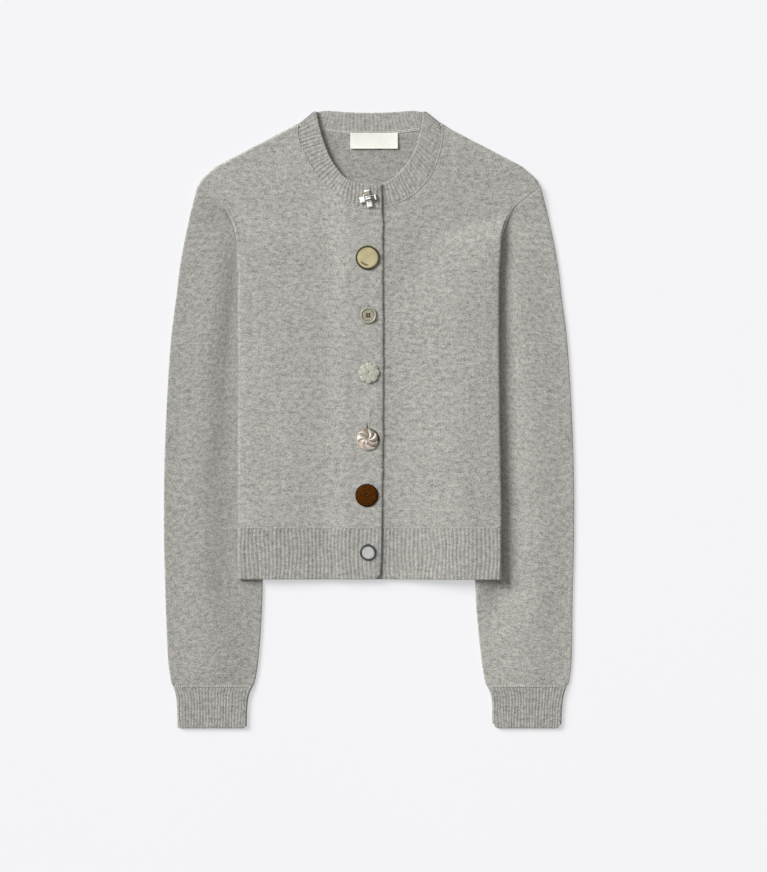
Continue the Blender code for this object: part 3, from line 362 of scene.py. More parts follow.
@dataclass
class Wall:
    """A closed wall of cloth between two grids of points, with its free edges rounded.

    The rim that joins the two faces bulges outwards as half an ellipse.
    """

    outer: Array
    inner: Array
    cloth: Array
    wrap: bool = False
    bulge: float = RIM
    # Painted light at each point: painted shade on knitting, a painted highlight on the label.
    painted_light: Array | None = None
    slits: Sequence[Slit] = ()

    def loops(self) -> list[tuple[Array, Array]]:
        """Rows and columns of the points round each free edge, in order."""
        rows, columns = self.outer.shape[:2]
        if self.wrap:
            ahead = np.arange(columns)
            return [(np.zeros(columns, int), ahead), (np.full(columns, rows - 1), ahead[::-1])]
        top, right = np.arange(columns), np.arange(1, rows)
        bottom, left = np.arange(columns - 2, -1, -1), np.arange(rows - 2, 0, -1)
        row = np.concatenate([0 * top, right, 0 * bottom + rows - 1, left])
        column = np.concatenate([top, 0 * right + columns - 1, bottom, 0 * left])
        return [(row, column)]

    def rim(self, row: Array, column: Array, start: int) -> tuple[Array, Array, Array]:
        """The rounded strip round one free edge.

        Args:
            row: Rows of the edge's points.
            column: Columns of the edge's points.
            start: Number of the first new vertex.

        Returns:
            New points, quads, and the cloth place of the quads' corners.
        """
        rows, columns = self.outer.shape[:2]
        inside_row = np.clip(row, 1, rows - 2)
        inside_column = column if self.wrap else np.clip(column, 1, columns - 2)
        middle = (self.outer + self.inner) / 2
        out = unit(middle[row, column] - middle[inside_row, inside_column])
        half = (self.outer[row, column] - self.inner[row, column]) / 2
        angles = np.radians([45, 90, 135])[:, None, None]
        ring = middle[row, column] + half * np.cos(angles) + out * self.bulge * np.sin(angles)
        edge = row * columns + column
        new = start + np.arange(3 * len(row)).reshape(3, -1)
        rings = np.vstack([edge, new, edge + rows * columns])
        following = np.roll(rings, -1, axis=1)
        quads = np.stack([following[:-1], rings[:-1], rings[1:], following[1:]], axis=-1)
        place = self.cloth[row, column]
        beyond = np.roll(place, -1, axis=0)
        if self.wrap:
            lower = column if row[0] == 0 else np.roll(column, -1)
            ends = self.cloth[row, lower], self.cloth[row, lower + 1]
            place, beyond = ends if row[0] == 0 else ends[::-1]
        flat = np.stack([beyond, place, place, beyond], axis=1)
        return ring.reshape(-1, 3), quads.reshape(-1, 4), np.tile(flat, (4, 1, 1))

    def slit_walls(self, slit: Slit, start: int) -> tuple[Array, Array, Array]:
        """Opens one slit: doubles its points and walls its two edges.

        Args:
            slit: The slit.
            start: Number of the first new vertex.

        Returns:
            New points (outer right, then inner right), quads, and their corners' cloth places.
        """
        rows, columns = self.outer.shape[:2]
        row = np.arange(slit.first, slit.last + 1)
        left = row * columns + slit.column
        inner_left = left + rows * columns
        new = start + np.arange(2 * (len(row) - 2)).reshape(2, -1)
        right = np.concatenate([left[:1], new[0], left[-1:]])
        inner_right = np.concatenate([inner_left[:1], new[1], inner_left[-1:]])
        left_quads = np.stack([left[1:], left[:-1], inner_left[:-1], inner_left[1:]], axis=1)
        right_quads = np.stack([right[:-1], right[1:], inner_right[1:], inner_right[:-1]], axis=1)
        points = np.concatenate([face[row[1:-1], slit.column] for face in (self.outer, self.inner)])
        place = self.cloth[row, slit.column]
        near, far = place[:-1], place[1:]
        places = [np.stack(four, axis=1) for four in ((far, near, near, far), (near, far, far, near))]
        return points, np.concatenate([left_quads, right_quads]), np.concatenate(places)

    def build(self, name: str) -> Piece:
        """Makes the wall's object.

        Args:
            name: Name of the piece.

        Returns:
            The object, with its cloth map and, where it carries painted light, the attribute that holds it.
        """
        rows, columns = self.outer.shape[:2]
        cell_row, cell_column = grid_cells(rows, columns, self.wrap)
        face = cell_row * columns + cell_column % columns
        inner_face = face + rows * columns
        points = [self.outer.reshape(-1, 3), self.inner.reshape(-1, 3)]
        total = 2 * rows * columns
        strips = []
        for slit in self.slits:
            new, *strip = self.slit_walls(slit, total)
            push = slit.opening()[1:-1]
            new[:, 0] += np.tile(push, 2)
            for flat in points[:2]:
                flat[np.arange(slit.first + 1, slit.last) * columns + slit.column, 0] -= push
            inside = (cell_row > slit.first) & (cell_row < slit.last)
            moved = inside & (cell_column == slit.column) & (cell_column[:, :1] == slit.column)
            step = np.where(moved, total + cell_row - slit.first - 1, 0)
            face = np.where(moved, step, face)
            inner_face = np.where(moved, step + len(push), inner_face)
            points.append(new)
            strips.append(strip)
            total += len(new)
        for row, column in self.loops():
            new, *strip = self.rim(row, column, total)
            points.append(new)
            strips.append(strip)
            total += len(new)
        place = self.cloth[cell_row, cell_column]
        quads = np.concatenate([face, inner_face[:, ::-1], *(quads for quads, _ in strips)])
        cloth = np.concatenate([place, place[:, ::-1], *(places for _, places in strips)])
        points = np.concatenate(points)
        quads, cloth = outwards(points, quads, cloth)
        piece = mesh_piece(name, points, quads.ravel(), np.full(len(quads), 4), cloth)
        if self.painted_light is not None:
            depth = np.tile(self.painted_light.ravel(), 2)
            depth = np.concatenate([depth, np.full(total - len(depth), depth.mean())])
            attribute = piece.data.attributes.new(PAINTED_LIGHT, "FLOAT", "POINT")
            attribute.data.foreach_set("value", depth.astype(np.float32))
        return piece


# How the garment is laid


@dataclass(frozen=True)
class Knit:
    """Walls, ribs and joins of the knitting."""

    wall: float = 2.0 * MM
    rib_wall: float = 2.4 * MM
    rib_depth: float = 0.56 * MM
    rib_pitch: float = 4.3 * MM
    cuff_rib_pitch: float = 3.6 * MM
    fold: float = 2.8 * MM
    rib_fold: float = 3.0 * MM
    fold_gap: float = 0.1 * MM
    butt_gap: float = 0.1 * MM
    bulge: float = RIM
    rib_cells: int = 8

    @property
    def join(self) -> float:
        """How far a wall's grid stops short of the middle of a seam."""
        return self.butt_gap / 2 + self.bulge

    def ribs(self, along: Array, pitch: float) -> Array:
        """How deep a rib wall lies below its ridges: 0 on a ridge and 1 at the bottom between ridges.

        The section is 1 - |cos(pi s)|^0.8 of the pitches travelled, so ridges are round and
        valleys narrow; two slow cosines of s make some valleys shallower than others.
        """
        rib = along / pitch
        uneven = np.cos(2.39 * rib) + np.cos(0.71 * rib + 1.0)
        return (1 - np.abs(np.cos(math.pi * rib)) ** 0.8) * (0.80 + 0.10 * uneven)


@dataclass(frozen=True)
class Lay:
    """How high each layer lies: sleeves, back, left front, right front."""

    front_level: float = 3.6 * MM
    placket_rise: float = 2.2 * MM
    rib_rise: float = 2.65 * MM
    rib_ends: tuple[float, float, float, float] = (-119 * MM, -95 * MM, 212 * MM, 230 * MM)
    placket: tuple[float, float] = (-50 * MM, -21 * MM)
    sleeve_edge: float = 2.8 * MM
    sleeve_crown: float = 2.6 * MM
    crown_start: float = 0.15
    crown_end: tuple[float, float] = (0.96, 1.0)
    sleeve_clear: float = 0.4 * MM
    left_bulge: float = 4.0 * MM
    bulge_width: float = 20 * MM
    bulge_low: tuple[float, float] = (-215 * MM, -165 * MM)
    bulge_top: tuple[float, float] = (180 * MM, 236 * MM)
    bulge_growth: float = 0.45
    growth_rows: tuple[float, float] = (-110 * MM, 80 * MM)
    back_ramp: float = 34 * MM
    front_ramps: tuple[float, float] = (108 * MM, 92 * MM)
    body_half: float = 144.1 * MM
    shown_share: Rows = ((-240 * MM, 1.0), (-186 * MM, 0.70), (100 * MM, 0.62))
    margin: Rows = in_mm(
        (-176, 114.6), (-60, 112), (60, 110), (110, 104), (138, 117), (160, 130), (180, 139),
        (193.6, 143.2), (211, 180), (228, 245), (256, 300),
    )
    waves: Relief = Relief(11, 0.13 * MM, 14 * MM, 80 * MM)
    rows_of_waves: Relief = Relief(12, 0.035 * MM, 3.5 * MM, 7 * MM, 40, 5.0)

    def fullness(self, x: Array, y: Array) -> Array:
        """Height that the left sleeve puffs up under the body, less towards the armhole."""
        growth = 1 + self.bulge_growth * (1 - ease(y, *self.growth_rows))
        return np.where(x > 0, self.left_bulge * growth, 0.0) * (1 - ease(y, *self.bulge_top))

    def onto_sleeve(self, x: Array, y: Array, ramp: Array | float) -> Array:
        """Height of the climb onto a sleeve's margin, over a ramp of the given width."""
        lift = self.sleeve_edge + self.sleeve_clear + self.fullness(x, y)
        return lift * smooth_step((np.abs(x) - read_table(self.margin, y) + ramp) / ramp)

    def back(self, x: Array, y: Array) -> Array:
        """Height of the back's under face."""
        return self.onto_sleeve(x, y, self.back_ramp)

    def front(self, x: Array, y: Array, on_top: bool) -> Array:
        """Height of a front's under face.

        Args:
            x: Places across.
            y: Places along.
            on_top: Whether it is the right front, which climbs the left one at the placket.

        Returns:
            Heights.
        """
        ramp = np.where(x > 0, self.front_ramps[1], self.front_ramps[0])
        height = self.front_level + self.onto_sleeve(x, y, ramp)
        if on_top:
            ribbed = 1 - ease(y, *self.rib_ends[:2]) + ease(y, *self.rib_ends[2:])
            rise = self.placket_rise + (self.rib_rise - self.placket_rise) * ribbed
            height = height + rise * ease(x, *self.placket)
        return height

    def unevenness(self, x: Array, y: Array) -> Array:
        """The soft waves that all the front's layers share."""
        return self.waves.at(x, y) + self.rows_of_waves.at(x, y)

    def sleeve(self, plan: Array, along: Array, across: Array) -> Array:
        """Height of a sleeve's upper face, crowned where it shows.

        The crown is the square of a sine over the width that shows, and the left sleeve bulges
        where it passes beneath the body.

        Args:
            plan: Plan points (stations, columns, 2).
            along: Share of the sleeve's length of each station.
            across: Share of its width of each column.

        Returns:
            Heights.
        """
        x, y = plan[..., 0], plan[..., 1]
        shown = read_table(self.shown_share, y)
        swell = np.where(across < shown, np.sin(math.pi * np.clip(across / shown, 0, 1)) ** 2, 0)
        crown = self.sleeve_crown * swell * smooth_step(along / self.crown_start)
        crown = crown * (1 - 0.5 * ease(along, *self.crown_end))
        bulge = self.fullness(x, y) * ease(y, *self.bulge_low)
        return self.sleeve_edge + crown + bulge * ease(self.body_half - np.abs(x), 0, self.bulge_width)


@dataclass(frozen=True)
class Outline:
    """The seam lines and edges of the garment in plan, for the left half."""

    hem_bottom: float = -176.0 * MM
    hem_seam: float = -119.2 * MM
    bow_start: float = 150.0 * MM
    underarm: tuple[float, float] = (205 * MM, 231 * MM)
    shoulder_end: tuple[float, float] = (70 * MM, 77 * MM)
    right_hem_edge: float = 13.7 * MM
    right_front_edge: float = 15.85 * MM
    edge_drift: float = 1.6 * MM
    left_drift: Rows = in_mm(
        (-119, 1.2), (-95, 1.1), (-7, -0.3), (81, -1.2), (142, -1.1), (175, -0.8), (190, 0)
    )
    left_front_edge: float = -17.0 * MM
    edge_turn: float = 0.945
    cuff_seam: float = -293.6 * MM
    cuff_bottom: float = -339.9 * MM
    cuff_outer: tuple[float, float] = (214.6 * MM, 210.9 * MM)
    cuff_inner: tuple[float, float] = (127.4 * MM, 134.2 * MM)
    armhole: Rows = in_mm(
        (145.2, 193.6), (148.9, 211.2), (156.0, 226.8), (161.3, 233.9), (170.0, 240.9), (188.5, 255.5)
    )
    shoulder: Rows = in_mm(
        (188.5, 255.5), (184.2, 262.8), (171.6, 273.9), (163.9, 279.4), (122.1, 301.4), (92.0, 317.0)
    )
    sleeve_outer: Rows = in_mm(
        (188.5, 255.5), (192.5, 240.9), (198.0, 218.9), (206.8, 174.9), (212.3, 130.9), (217.8, 86.9),
        (222.2, 20.9), (225.0, -50.0), (225.5, -120.0), (224.4, -177.0), (221.6, -254.0),
        (218.2, -286.0), (215.6, -293.2),
    )
    sleeve_inner: Rows = in_mm(
        (112.0, 120.0), (112.0, 50.0), (114.0, -60.0), (116.6, -176.0), (118.3, -221.0),
        (121.6, -265.0), (125.0, -287.0), (127.0, -293.2),
    )
    sleeve_hidden_end: Rows = in_mm((112.0, 120.0), (126.0, 138.0), (137.0, 160.0), (143.5, 180.0))
    band_right: Rows = in_mm(
        (13.3, 257.8, 13.7, 232.0),
        (-2.8, 257.6, -2.8, 231.2),
        (-16.7, 260.0, -21.0, 235.0),
        (-28.5, 267.0, -40.7, 249.2),
        (-40.6, 283.1, -59.5, 270.5),
        (-49.1, 302.7, -73.0, 295.5),
        (-55.0, 323.0, -78.6, 314.0),
        (-59.2, 339.6, -76.8, 324.9),
    )
    band_left: Rows = in_mm(
        (-17.0, 257.8, -17.0, 231.4),
        (-2.0, 257.6, -2.0, 231.0),
        (12.7, 258.0, 14.5, 232.4),
        (25.3, 263.5, 34.5, 238.9),
        (39.4, 277.5, 54.0, 251.5),
        (49.2, 292.9, 69.5, 271.5),
        (55.2, 310.0, 78.0, 295.0),
        (58.8, 327.0, 80.8, 314.0),
        (60.9, 339.6, 79.0, 324.9),
    )
    band_back: Rows = in_mm(
        (-59.2, 339.6, -76.8, 324.9),
        (-46.0, 338.6, -54.0, 318.6),
        (-22.0, 337.0, -24.0, 315.0),
        (0.0, 336.4, 1.0, 314.4),
        (24.0, 337.0, 27.0, 315.0),
        (47.0, 338.6, 56.0, 318.6),
        (60.9, 339.6, 79.0, 324.9),
    )

    def drifted(self, side: Side, y: Array | float) -> Array:
        """How far outwards a side strays from straight at y; only the left one does."""
        return read_table(self.left_drift, y) * (side is Side.LEFT)

    def side_line(self, side: Side, shares: Array, join: float) -> Array:
        """The body's side for shares 0 to 1, then the armhole seam for 1 to 2.

        Args:
            side: Which side.
            shares: Shares along the two stretches.
            join: How far above the middle of the hem seam it starts.

        Returns:
            Plan points.
        """
        corner_x, corner_y = self.armhole[0]
        start = self.hem_seam + join
        y = start + np.clip(shares, 0, 1) * (corner_y - start)
        bow = ease(y, self.bow_start, corner_y) * (corner_x - Lay.body_half)
        x = Lay.body_half + bow + self.drifted(side, y)
        seam = smooth_curve(self.armhole, np.clip(shares - 1, 0, 1))
        return mirrored(np.where((shares > 1)[:, None], seam, np.stack([x, y], axis=-1)), side)

    def neck_seam(self, rows: Rows, shares: Array, join: float) -> Array:
        """The panels' neck edge along rows of the neckband's table, join outside the seam."""
        table = np.array(rows)
        across = unit(table[:, 2:] - table[:, :2])
        return smooth_curve(table[:, 2:] + join * across, shares)

    def front_line(self, edge: float, rows: Rows, shares: Array, join: float) -> Array:
        """A front's placket edge for shares 0 to 1, then its neck seam for 1 to 2.

        Args:
            edge: x of the placket edge.
            rows: Rows of the neckband's table.
            shares: Shares along the two stretches.
            join: Distance from the middle of the seams.

        Returns:
            Plan points.
        """
        seam = self.neck_seam(rows, np.clip(shares - 1, 0, 1), join)
        first = self.neck_seam(rows, np.array([0.0]), join)[0]
        straight = np.clip(shares, 0, 1)
        start = self.hem_seam + join
        y = start + straight * (first[1] - start)
        x = edge + ease(straight, self.edge_turn, 1) * (first[0] - edge)
        return np.where((shares > 1)[:, None], seam, np.stack([x, y], axis=-1))

    def fold_out(self, row: Sequence[float], side: int) -> Array:
        """The plan direction in which the neckband's fold faces at the shoulder of a side."""
        along = unit(np.array(row[:2]) - np.array(row[2:]))
        return np.array([side * abs(along[1]), abs(along[0])])

    def inset_ends(self, radius: float) -> tuple[Rows, Rows]:
        """The rows of the neckband's two folds, each moved in by the fold's radius."""
        ends = ((self.band_back[0], -1), (self.band_back[-1], 1))
        moved = [tuple(np.subtract(row, np.tile(self.fold_out(row, side) * radius, 2))) for row, side in ends]
        return (moved[0],), (moved[1],)

    def back_top(self, shares: Array, radius: float, join: float) -> Array:
        """The back's top edge: right shoulder, back neck seam, left shoulder.

        Args:
            shares: Shares of its length.
            radius: Radius of the neckband's folds.
            join: Distance from the middle of the seam.

        Returns:
            Plan points.
        """
        first, last = self.inset_ends(radius)
        seam = self.neck_seam(first + self.band_back[1:-1] + last, np.linspace(0, 1, 12), join)
        right = mirrored(self.shoulder, Side.RIGHT)
        return smooth_curve(np.vstack([right, seam, self.shoulder[::-1]]), shares)


@dataclass(frozen=True)
class ButtonSeat:
    """Where one button sits, and the buttonhole that it goes through."""

    x: float
    y: float
    diameter: float
    hole_top: float
    hole_length: float
    opening: float = 1.25 * MM

    def slit(self, grid: Array) -> Slit:
        """The buttonhole as a slit in a plan grid.

        Args:
            grid: The grid (rows, columns, 2).

        Returns:
            The slit, in the nearest column and from and to the nearest rows.
        """
        away = np.abs(grid[..., 0] - self.x) + np.abs(grid[..., 1] - self.y)
        column = int(np.unravel_index(away.argmin(), away.shape)[1])
        line = grid[:, column, 1]
        ends = (self.y + self.hole_top, self.y + self.hole_top - self.hole_length)
        first, last = sorted(int(np.abs(line - end).argmin()) for end in ends)
        return Slit(column, first, last, self.opening)


@dataclass
class Cloth:
    """A knitted sub-assembly, with the measures that all of them share."""

    knit: Knit = Knit()
    lay: Lay = Lay()
    outline: Outline = Outline()


def add_folds(
    grid: Array, radius: float, steps: int, sides: Sequence[Fold | None], top: Fold
) -> tuple[Array, Array]:
    """Adds to a panel's plan grid the columns and rows that round into its folds.

    Where the amount is 1 the cloth goes out by a sine and down by 1 less a cosine; where it is
    0 it goes on flat by the same reach, in even steps.

    Args:
        grid: Plan grid (rows, columns, 2).
        radius: Radius of the folds.
        steps: Points added at each fold.
        sides: For the first and the last column, each row's outward direction and how far it
            is folded, 0 to 1, or None for a side with no fold.
        top: The same for each column at the top.

    Returns:
        The longer grid, and each point's share of the way down.
    """
    angle = np.linspace(0, math.pi / 2, steps + 1)[1:]
    even = np.linspace(0, 1, steps + 1)[1:]
    share = np.zeros(grid.shape[:2])
    top_normals, top_amount = top

    def reach(amount: Array) -> Array:
        """Steps outwards, for each amount folded."""
        return radius * (amount[:, None] * np.sin(angle) + (1 - amount[:, None]) * even)

    for flip, fold in zip((-1, 1), sides):
        if fold is None:
            continue
        normals, amount = fold
        grid, share = grid[:, ::flip], share[:, ::flip]
        top_normals, top_amount = top_normals[::flip], top_amount[::flip]
        extra = grid[:, -1:] + normals[:, None] * reach(amount)[..., None]
        drop = amount[:, None] * (1 - np.cos(angle))
        grid = np.concatenate([grid, extra], axis=1)[:, ::flip]
        share = np.concatenate([share, drop], axis=1)[:, ::flip]
        top_normals = np.concatenate([top_normals, np.repeat(top_normals[-1:], steps, 0)])[::flip]
        top_amount = np.concatenate([top_amount, np.repeat(top_amount[-1], steps)])[::flip]
    extra = grid[-1] + top_normals * reach(top_amount).T[..., None]
    drop = (1 - np.cos(angle))[:, None] * top_amount
    return np.concatenate([grid, extra]), np.vstack([share, np.maximum(share[-1:], drop)])


@dataclass
class Panels(Cloth):
    """The plain back and the two plain fronts."""

    rows: tuple[int, int] = (168, 72)
    back_rows: tuple[int, int] = (112, 46)
    columns: int = 92
    back_columns: int = 118
    line_points: int = 80
    fold_steps: int = 6
    press_reach: float = 1.0 * MM
    press_depth: float = 0.5 * MM
    hem_press: float = 0.35 * MM
    roll: float = 0.8 * MM
    roll_band: tuple[float, float] = (126 * MM, 144 * MM)
    roll_rows: tuple[float, float, float] = (-90 * MM, 150 * MM, 195 * MM)
    wobble: Relief = Relief(31, 0.22 * MM, 9 * MM, 40 * MM)
    loose_until: tuple[float, float] = (0.8, 1.0)
    low_drift_end: float = -10 * MM
    high_drift: tuple[float, float] = (95 * MM, 160 * MM)
    high_drift_share: float = 0.35
    draw_in: int = 14
    seat_reach: tuple[float, float] = (9 * MM, 16 * MM)
    press_rows: tuple[float, float] = (-100 * MM, -10 * MM)
    press_until: tuple[float, float] = (0.9, 1.0)
    # Painted shade on the wearer's right front: along its side fold and on its edge at the armhole seam,
    # where they face the light.
    fold_shade: float = 0.2
    fold_shade_end: tuple[float, float] = (200 * MM, 215 * MM)
    seam_shade: float = 0.7
    seam_shade_rows: Rows = in_mm((185, 200), (228, 245))

    def grid_rows(self, counts: tuple[int, int]) -> Array:
        """Shares 0 to 2 of a panel's rows: evenly up the side, then evenly up the armhole."""
        straight, upper = counts
        return np.concatenate([np.linspace(0, 1, straight), 1 + np.linspace(0, 1, upper + 1)[1:]])

    def shortened(self, rows: Array, length: float) -> Array:
        """Rows whose second stretch, of this length, ends a fold short of the shoulder."""
        return np.where(rows > 1, 1 + (rows - 1) * (1 - self.knit.fold / length), rows)

    def side(self, side: Side, rows: Array) -> tuple[Array, Array, Array, Array]:
        """A side line moved in by the fold.

        Args:
            side: Which side.
            rows: Shares 0 to 2.

        Returns:
            Points, outward normals, amounts folded, and the line's direction at the shoulder.
        """
        outline, knit = self.outline, self.knit
        armhole = smooth_curve(outline.armhole, np.linspace(0, 1, self.line_points))
        shares = self.shortened(rows, run_lengths(armhole)[-1])
        points = outline.side_line(side, shares, knit.join)
        normals = beside(points, -side.value)
        folded = 1 - ease(points[:, 1], *outline.underarm)
        inset = knit.fold + (1 - folded[:, None]) * (knit.join - knit.butt_gap)
        return points - inset * normals, normals, folded, unit(mirrored(armhole[-1] - armhole[-2], side))

    def plan(self, side: Array, inner: Array, top: Array, normals: Array, rows: Array) -> Array:
        """Plan grid: straight rows from side to inner, the upper rows bent onto the top line.

        The top line is first moved in by the fold and drawn onto the ends of both edges.

        Args:
            side: A point for each row.
            inner: A point for each row.
            top: A point for each column.
            normals: The top line's outward directions.
            rows: Shares 0 to 2.

        Returns:
            The grid (rows, columns, 2).
        """
        shares = np.linspace(0, 1, len(top))[:, None]
        inset = top - self.knit.fold * normals
        near_first, near_last = (1 - shares) ** self.draw_in, shares**self.draw_in
        top = inset + near_first * (side[-1] - inset[0]) + near_last * (inner[-1] - inset[-1])
        flat = (1 - shares) * side[:, None] + shares * inner[:, None]
        bend = np.clip(rows - 1, 0, 1)[:, None, None]
        return flat + bend * (top - flat[-1:])

    def front(self, side: Side, buttons: Sequence[ButtonSeat], name: str) -> Piece:
        """One plain front, from the hem seam to the shoulder.

        Its outer face follows the lay of the layers; the right front's free edge is pressed
        down onto the left one over a short reach, as a quarter ellipse.

        Args:
            side: Which front.
            buttons: The buttons whose buttonholes it carries.
            name: Name of the piece.

        Returns:
            The front.
        """
        outline, knit, lay = self.outline, self.knit, self.lay
        on_top = side is Side.RIGHT
        edge = outline.right_front_edge - knit.bulge if on_top else outline.left_front_edge
        table = outline.band_right if on_top else outline.band_left
        rows = self.grid_rows(self.rows)
        seam = outline.neck_seam(table, np.linspace(0, 1, self.line_points), knit.join)
        inner = outline.front_line(edge, table, self.shortened(rows, run_lengths(seam)[-1]), knit.join)
        if on_top:
            loose = 1 - ease(rows, *self.loose_until)
            inner[:, 0] += loose * self.wobble.at(0.0, inner[:, 1])
            drift = 1 - ease(inner[:, 1], outline.hem_seam, self.low_drift_end)
            drift = drift + self.high_drift_share * ease(inner[:, 1], *self.high_drift) * loose
            inner[:, 0] -= outline.edge_drift * drift
        shoulder = mirrored(outline.shoulder, side)
        top = smooth_curve(np.vstack([shoulder, seam[-1]]), np.linspace(0, 1, self.columns))
        normals = beside(top, -side.value)
        points, side_normals, folded, ending = self.side(side, rows)
        grid = self.plan(points, inner, top, normals, rows)
        normals[0], normals[-1] = ending, unit(seam[-1] - seam[-2])
        slits = [seat.slit(grid) for seat in buttons]
        for seat, slit in zip(buttons, slits):
            column_x = grid[:, slit.column, 0][:, None]
            near = np.exp(-(((grid[..., 0] - column_x) / self.seat_reach[0]) ** 2))
            near_row = np.exp(-(((grid[..., 1] - seat.y) / self.seat_reach[1]) ** 2))
            at_seat = grid[(slit.first + slit.last) // 2, slit.column, 0]
            grid[..., 0] += (seat.x - at_seat) * near * near_row
        for slit in slits:
            grid = slit.spread(grid)
        steps = self.fold_steps
        top_fold = normals, np.ones(len(top))
        plan, share = add_folds(grid, knit.fold, steps, ((side_normals, folded), None), top_fold)
        slits = [Slit(slit.column + steps, slit.first, slit.last, slit.half_width) for slit in slits]
        x, y = plan[..., 0], plan[..., 1]
        low, high = self.roll_band
        aside = np.clip((np.abs(x) - low) / (high - low), 0, 1) ** 2
        flat = ease(y, outline.hem_seam, self.roll_rows[0]) * (1 - ease(y, *self.roll_rows[1:]))
        face = lay.front(x, y, on_top) + knit.wall - self.roll * aside * flat
        lowest = lay.back(x, y) + knit.fold + knit.fold_gap / 2
        z = face + share * np.minimum(lowest - face, 0) + (1 - share) * lay.unevenness(x, y)
        outer = np.dstack([plan, z])
        normal = surface_normals(outer)
        normal *= np.sign(normal[len(rows) // 2, self.columns // 2, 2])
        wall = np.full(z.shape, knit.wall)
        if on_top:
            press = quarter_round(np.abs(plan[:, -1:, 0] - x) / self.press_reach)
            depth = self.hem_press + (self.press_depth - self.hem_press) * ease(y, *self.press_rows)
            stretch = np.concatenate([rows, np.full(steps, rows[-1])])[:, None]
            sink = press * depth * (1 - ease(stretch, *self.press_until))
            wall = wall - sink
            outer[..., 2] -= sink
        under = outer - normal * wall[..., None]
        # Painted shade on the wearer's right front: along the side fold, and on the edge by the armhole seam.
        along_fold = smooth_step(share / self.fold_shade) * (1 - ease(y, *self.fold_shade_end))
        at_seam = self.seam_shade * np.clip(steps + 2 - np.arange(x.shape[1]), 0, 1)
        start, end = self.seam_shade_rows
        at_seam = at_seam * ease(y, *start) * (1 - ease(y, *end))
        shaded = np.where(x < -0.5 * lay.body_half, np.maximum(along_fold, at_seam), 0.0)
        return Wall(outer, under, plan, painted_light=shaded, slits=slits).build(name)

    def back(self, name: str) -> Piece:
        """The plain back, from the hem seam to the shoulders and the back neck seam.

        Args:
            name: Name of the piece.

        Returns:
            The back.
        """
        outline, knit, lay = self.outline, self.knit, self.lay
        rows = self.grid_rows(self.back_rows)
        top = outline.back_top(np.linspace(0, 1, self.back_columns), knit.rib_fold, knit.join)
        normals = beside(top, 1)
        right, right_normals, folded, right_ending = self.side(Side.RIGHT, rows)
        left, left_normals, _, left_ending = self.side(Side.LEFT, rows)
        shoulder = ease(np.abs(top[:, 0]), *outline.shoulder_end)
        grid = self.plan(right, left, top, normals, rows)
        normals[0], normals[-1] = right_ending, left_ending
        sides = ((right_normals, folded), (left_normals, folded))
        plan, share = add_folds(grid, knit.fold, self.fold_steps, sides, (normals, shoulder))
        x, y = plan[..., 0], plan[..., 1]
        outer = np.dstack([plan, lay.back(x, y) + share * (knit.fold - knit.fold_gap / 2)])
        normal = surface_normals(outer)
        normal *= -np.sign(normal[len(rows) // 2, self.back_columns // 2, 2])
        return Wall(outer, outer - normal * knit.wall, np.dstack([-x, y])).build(name)


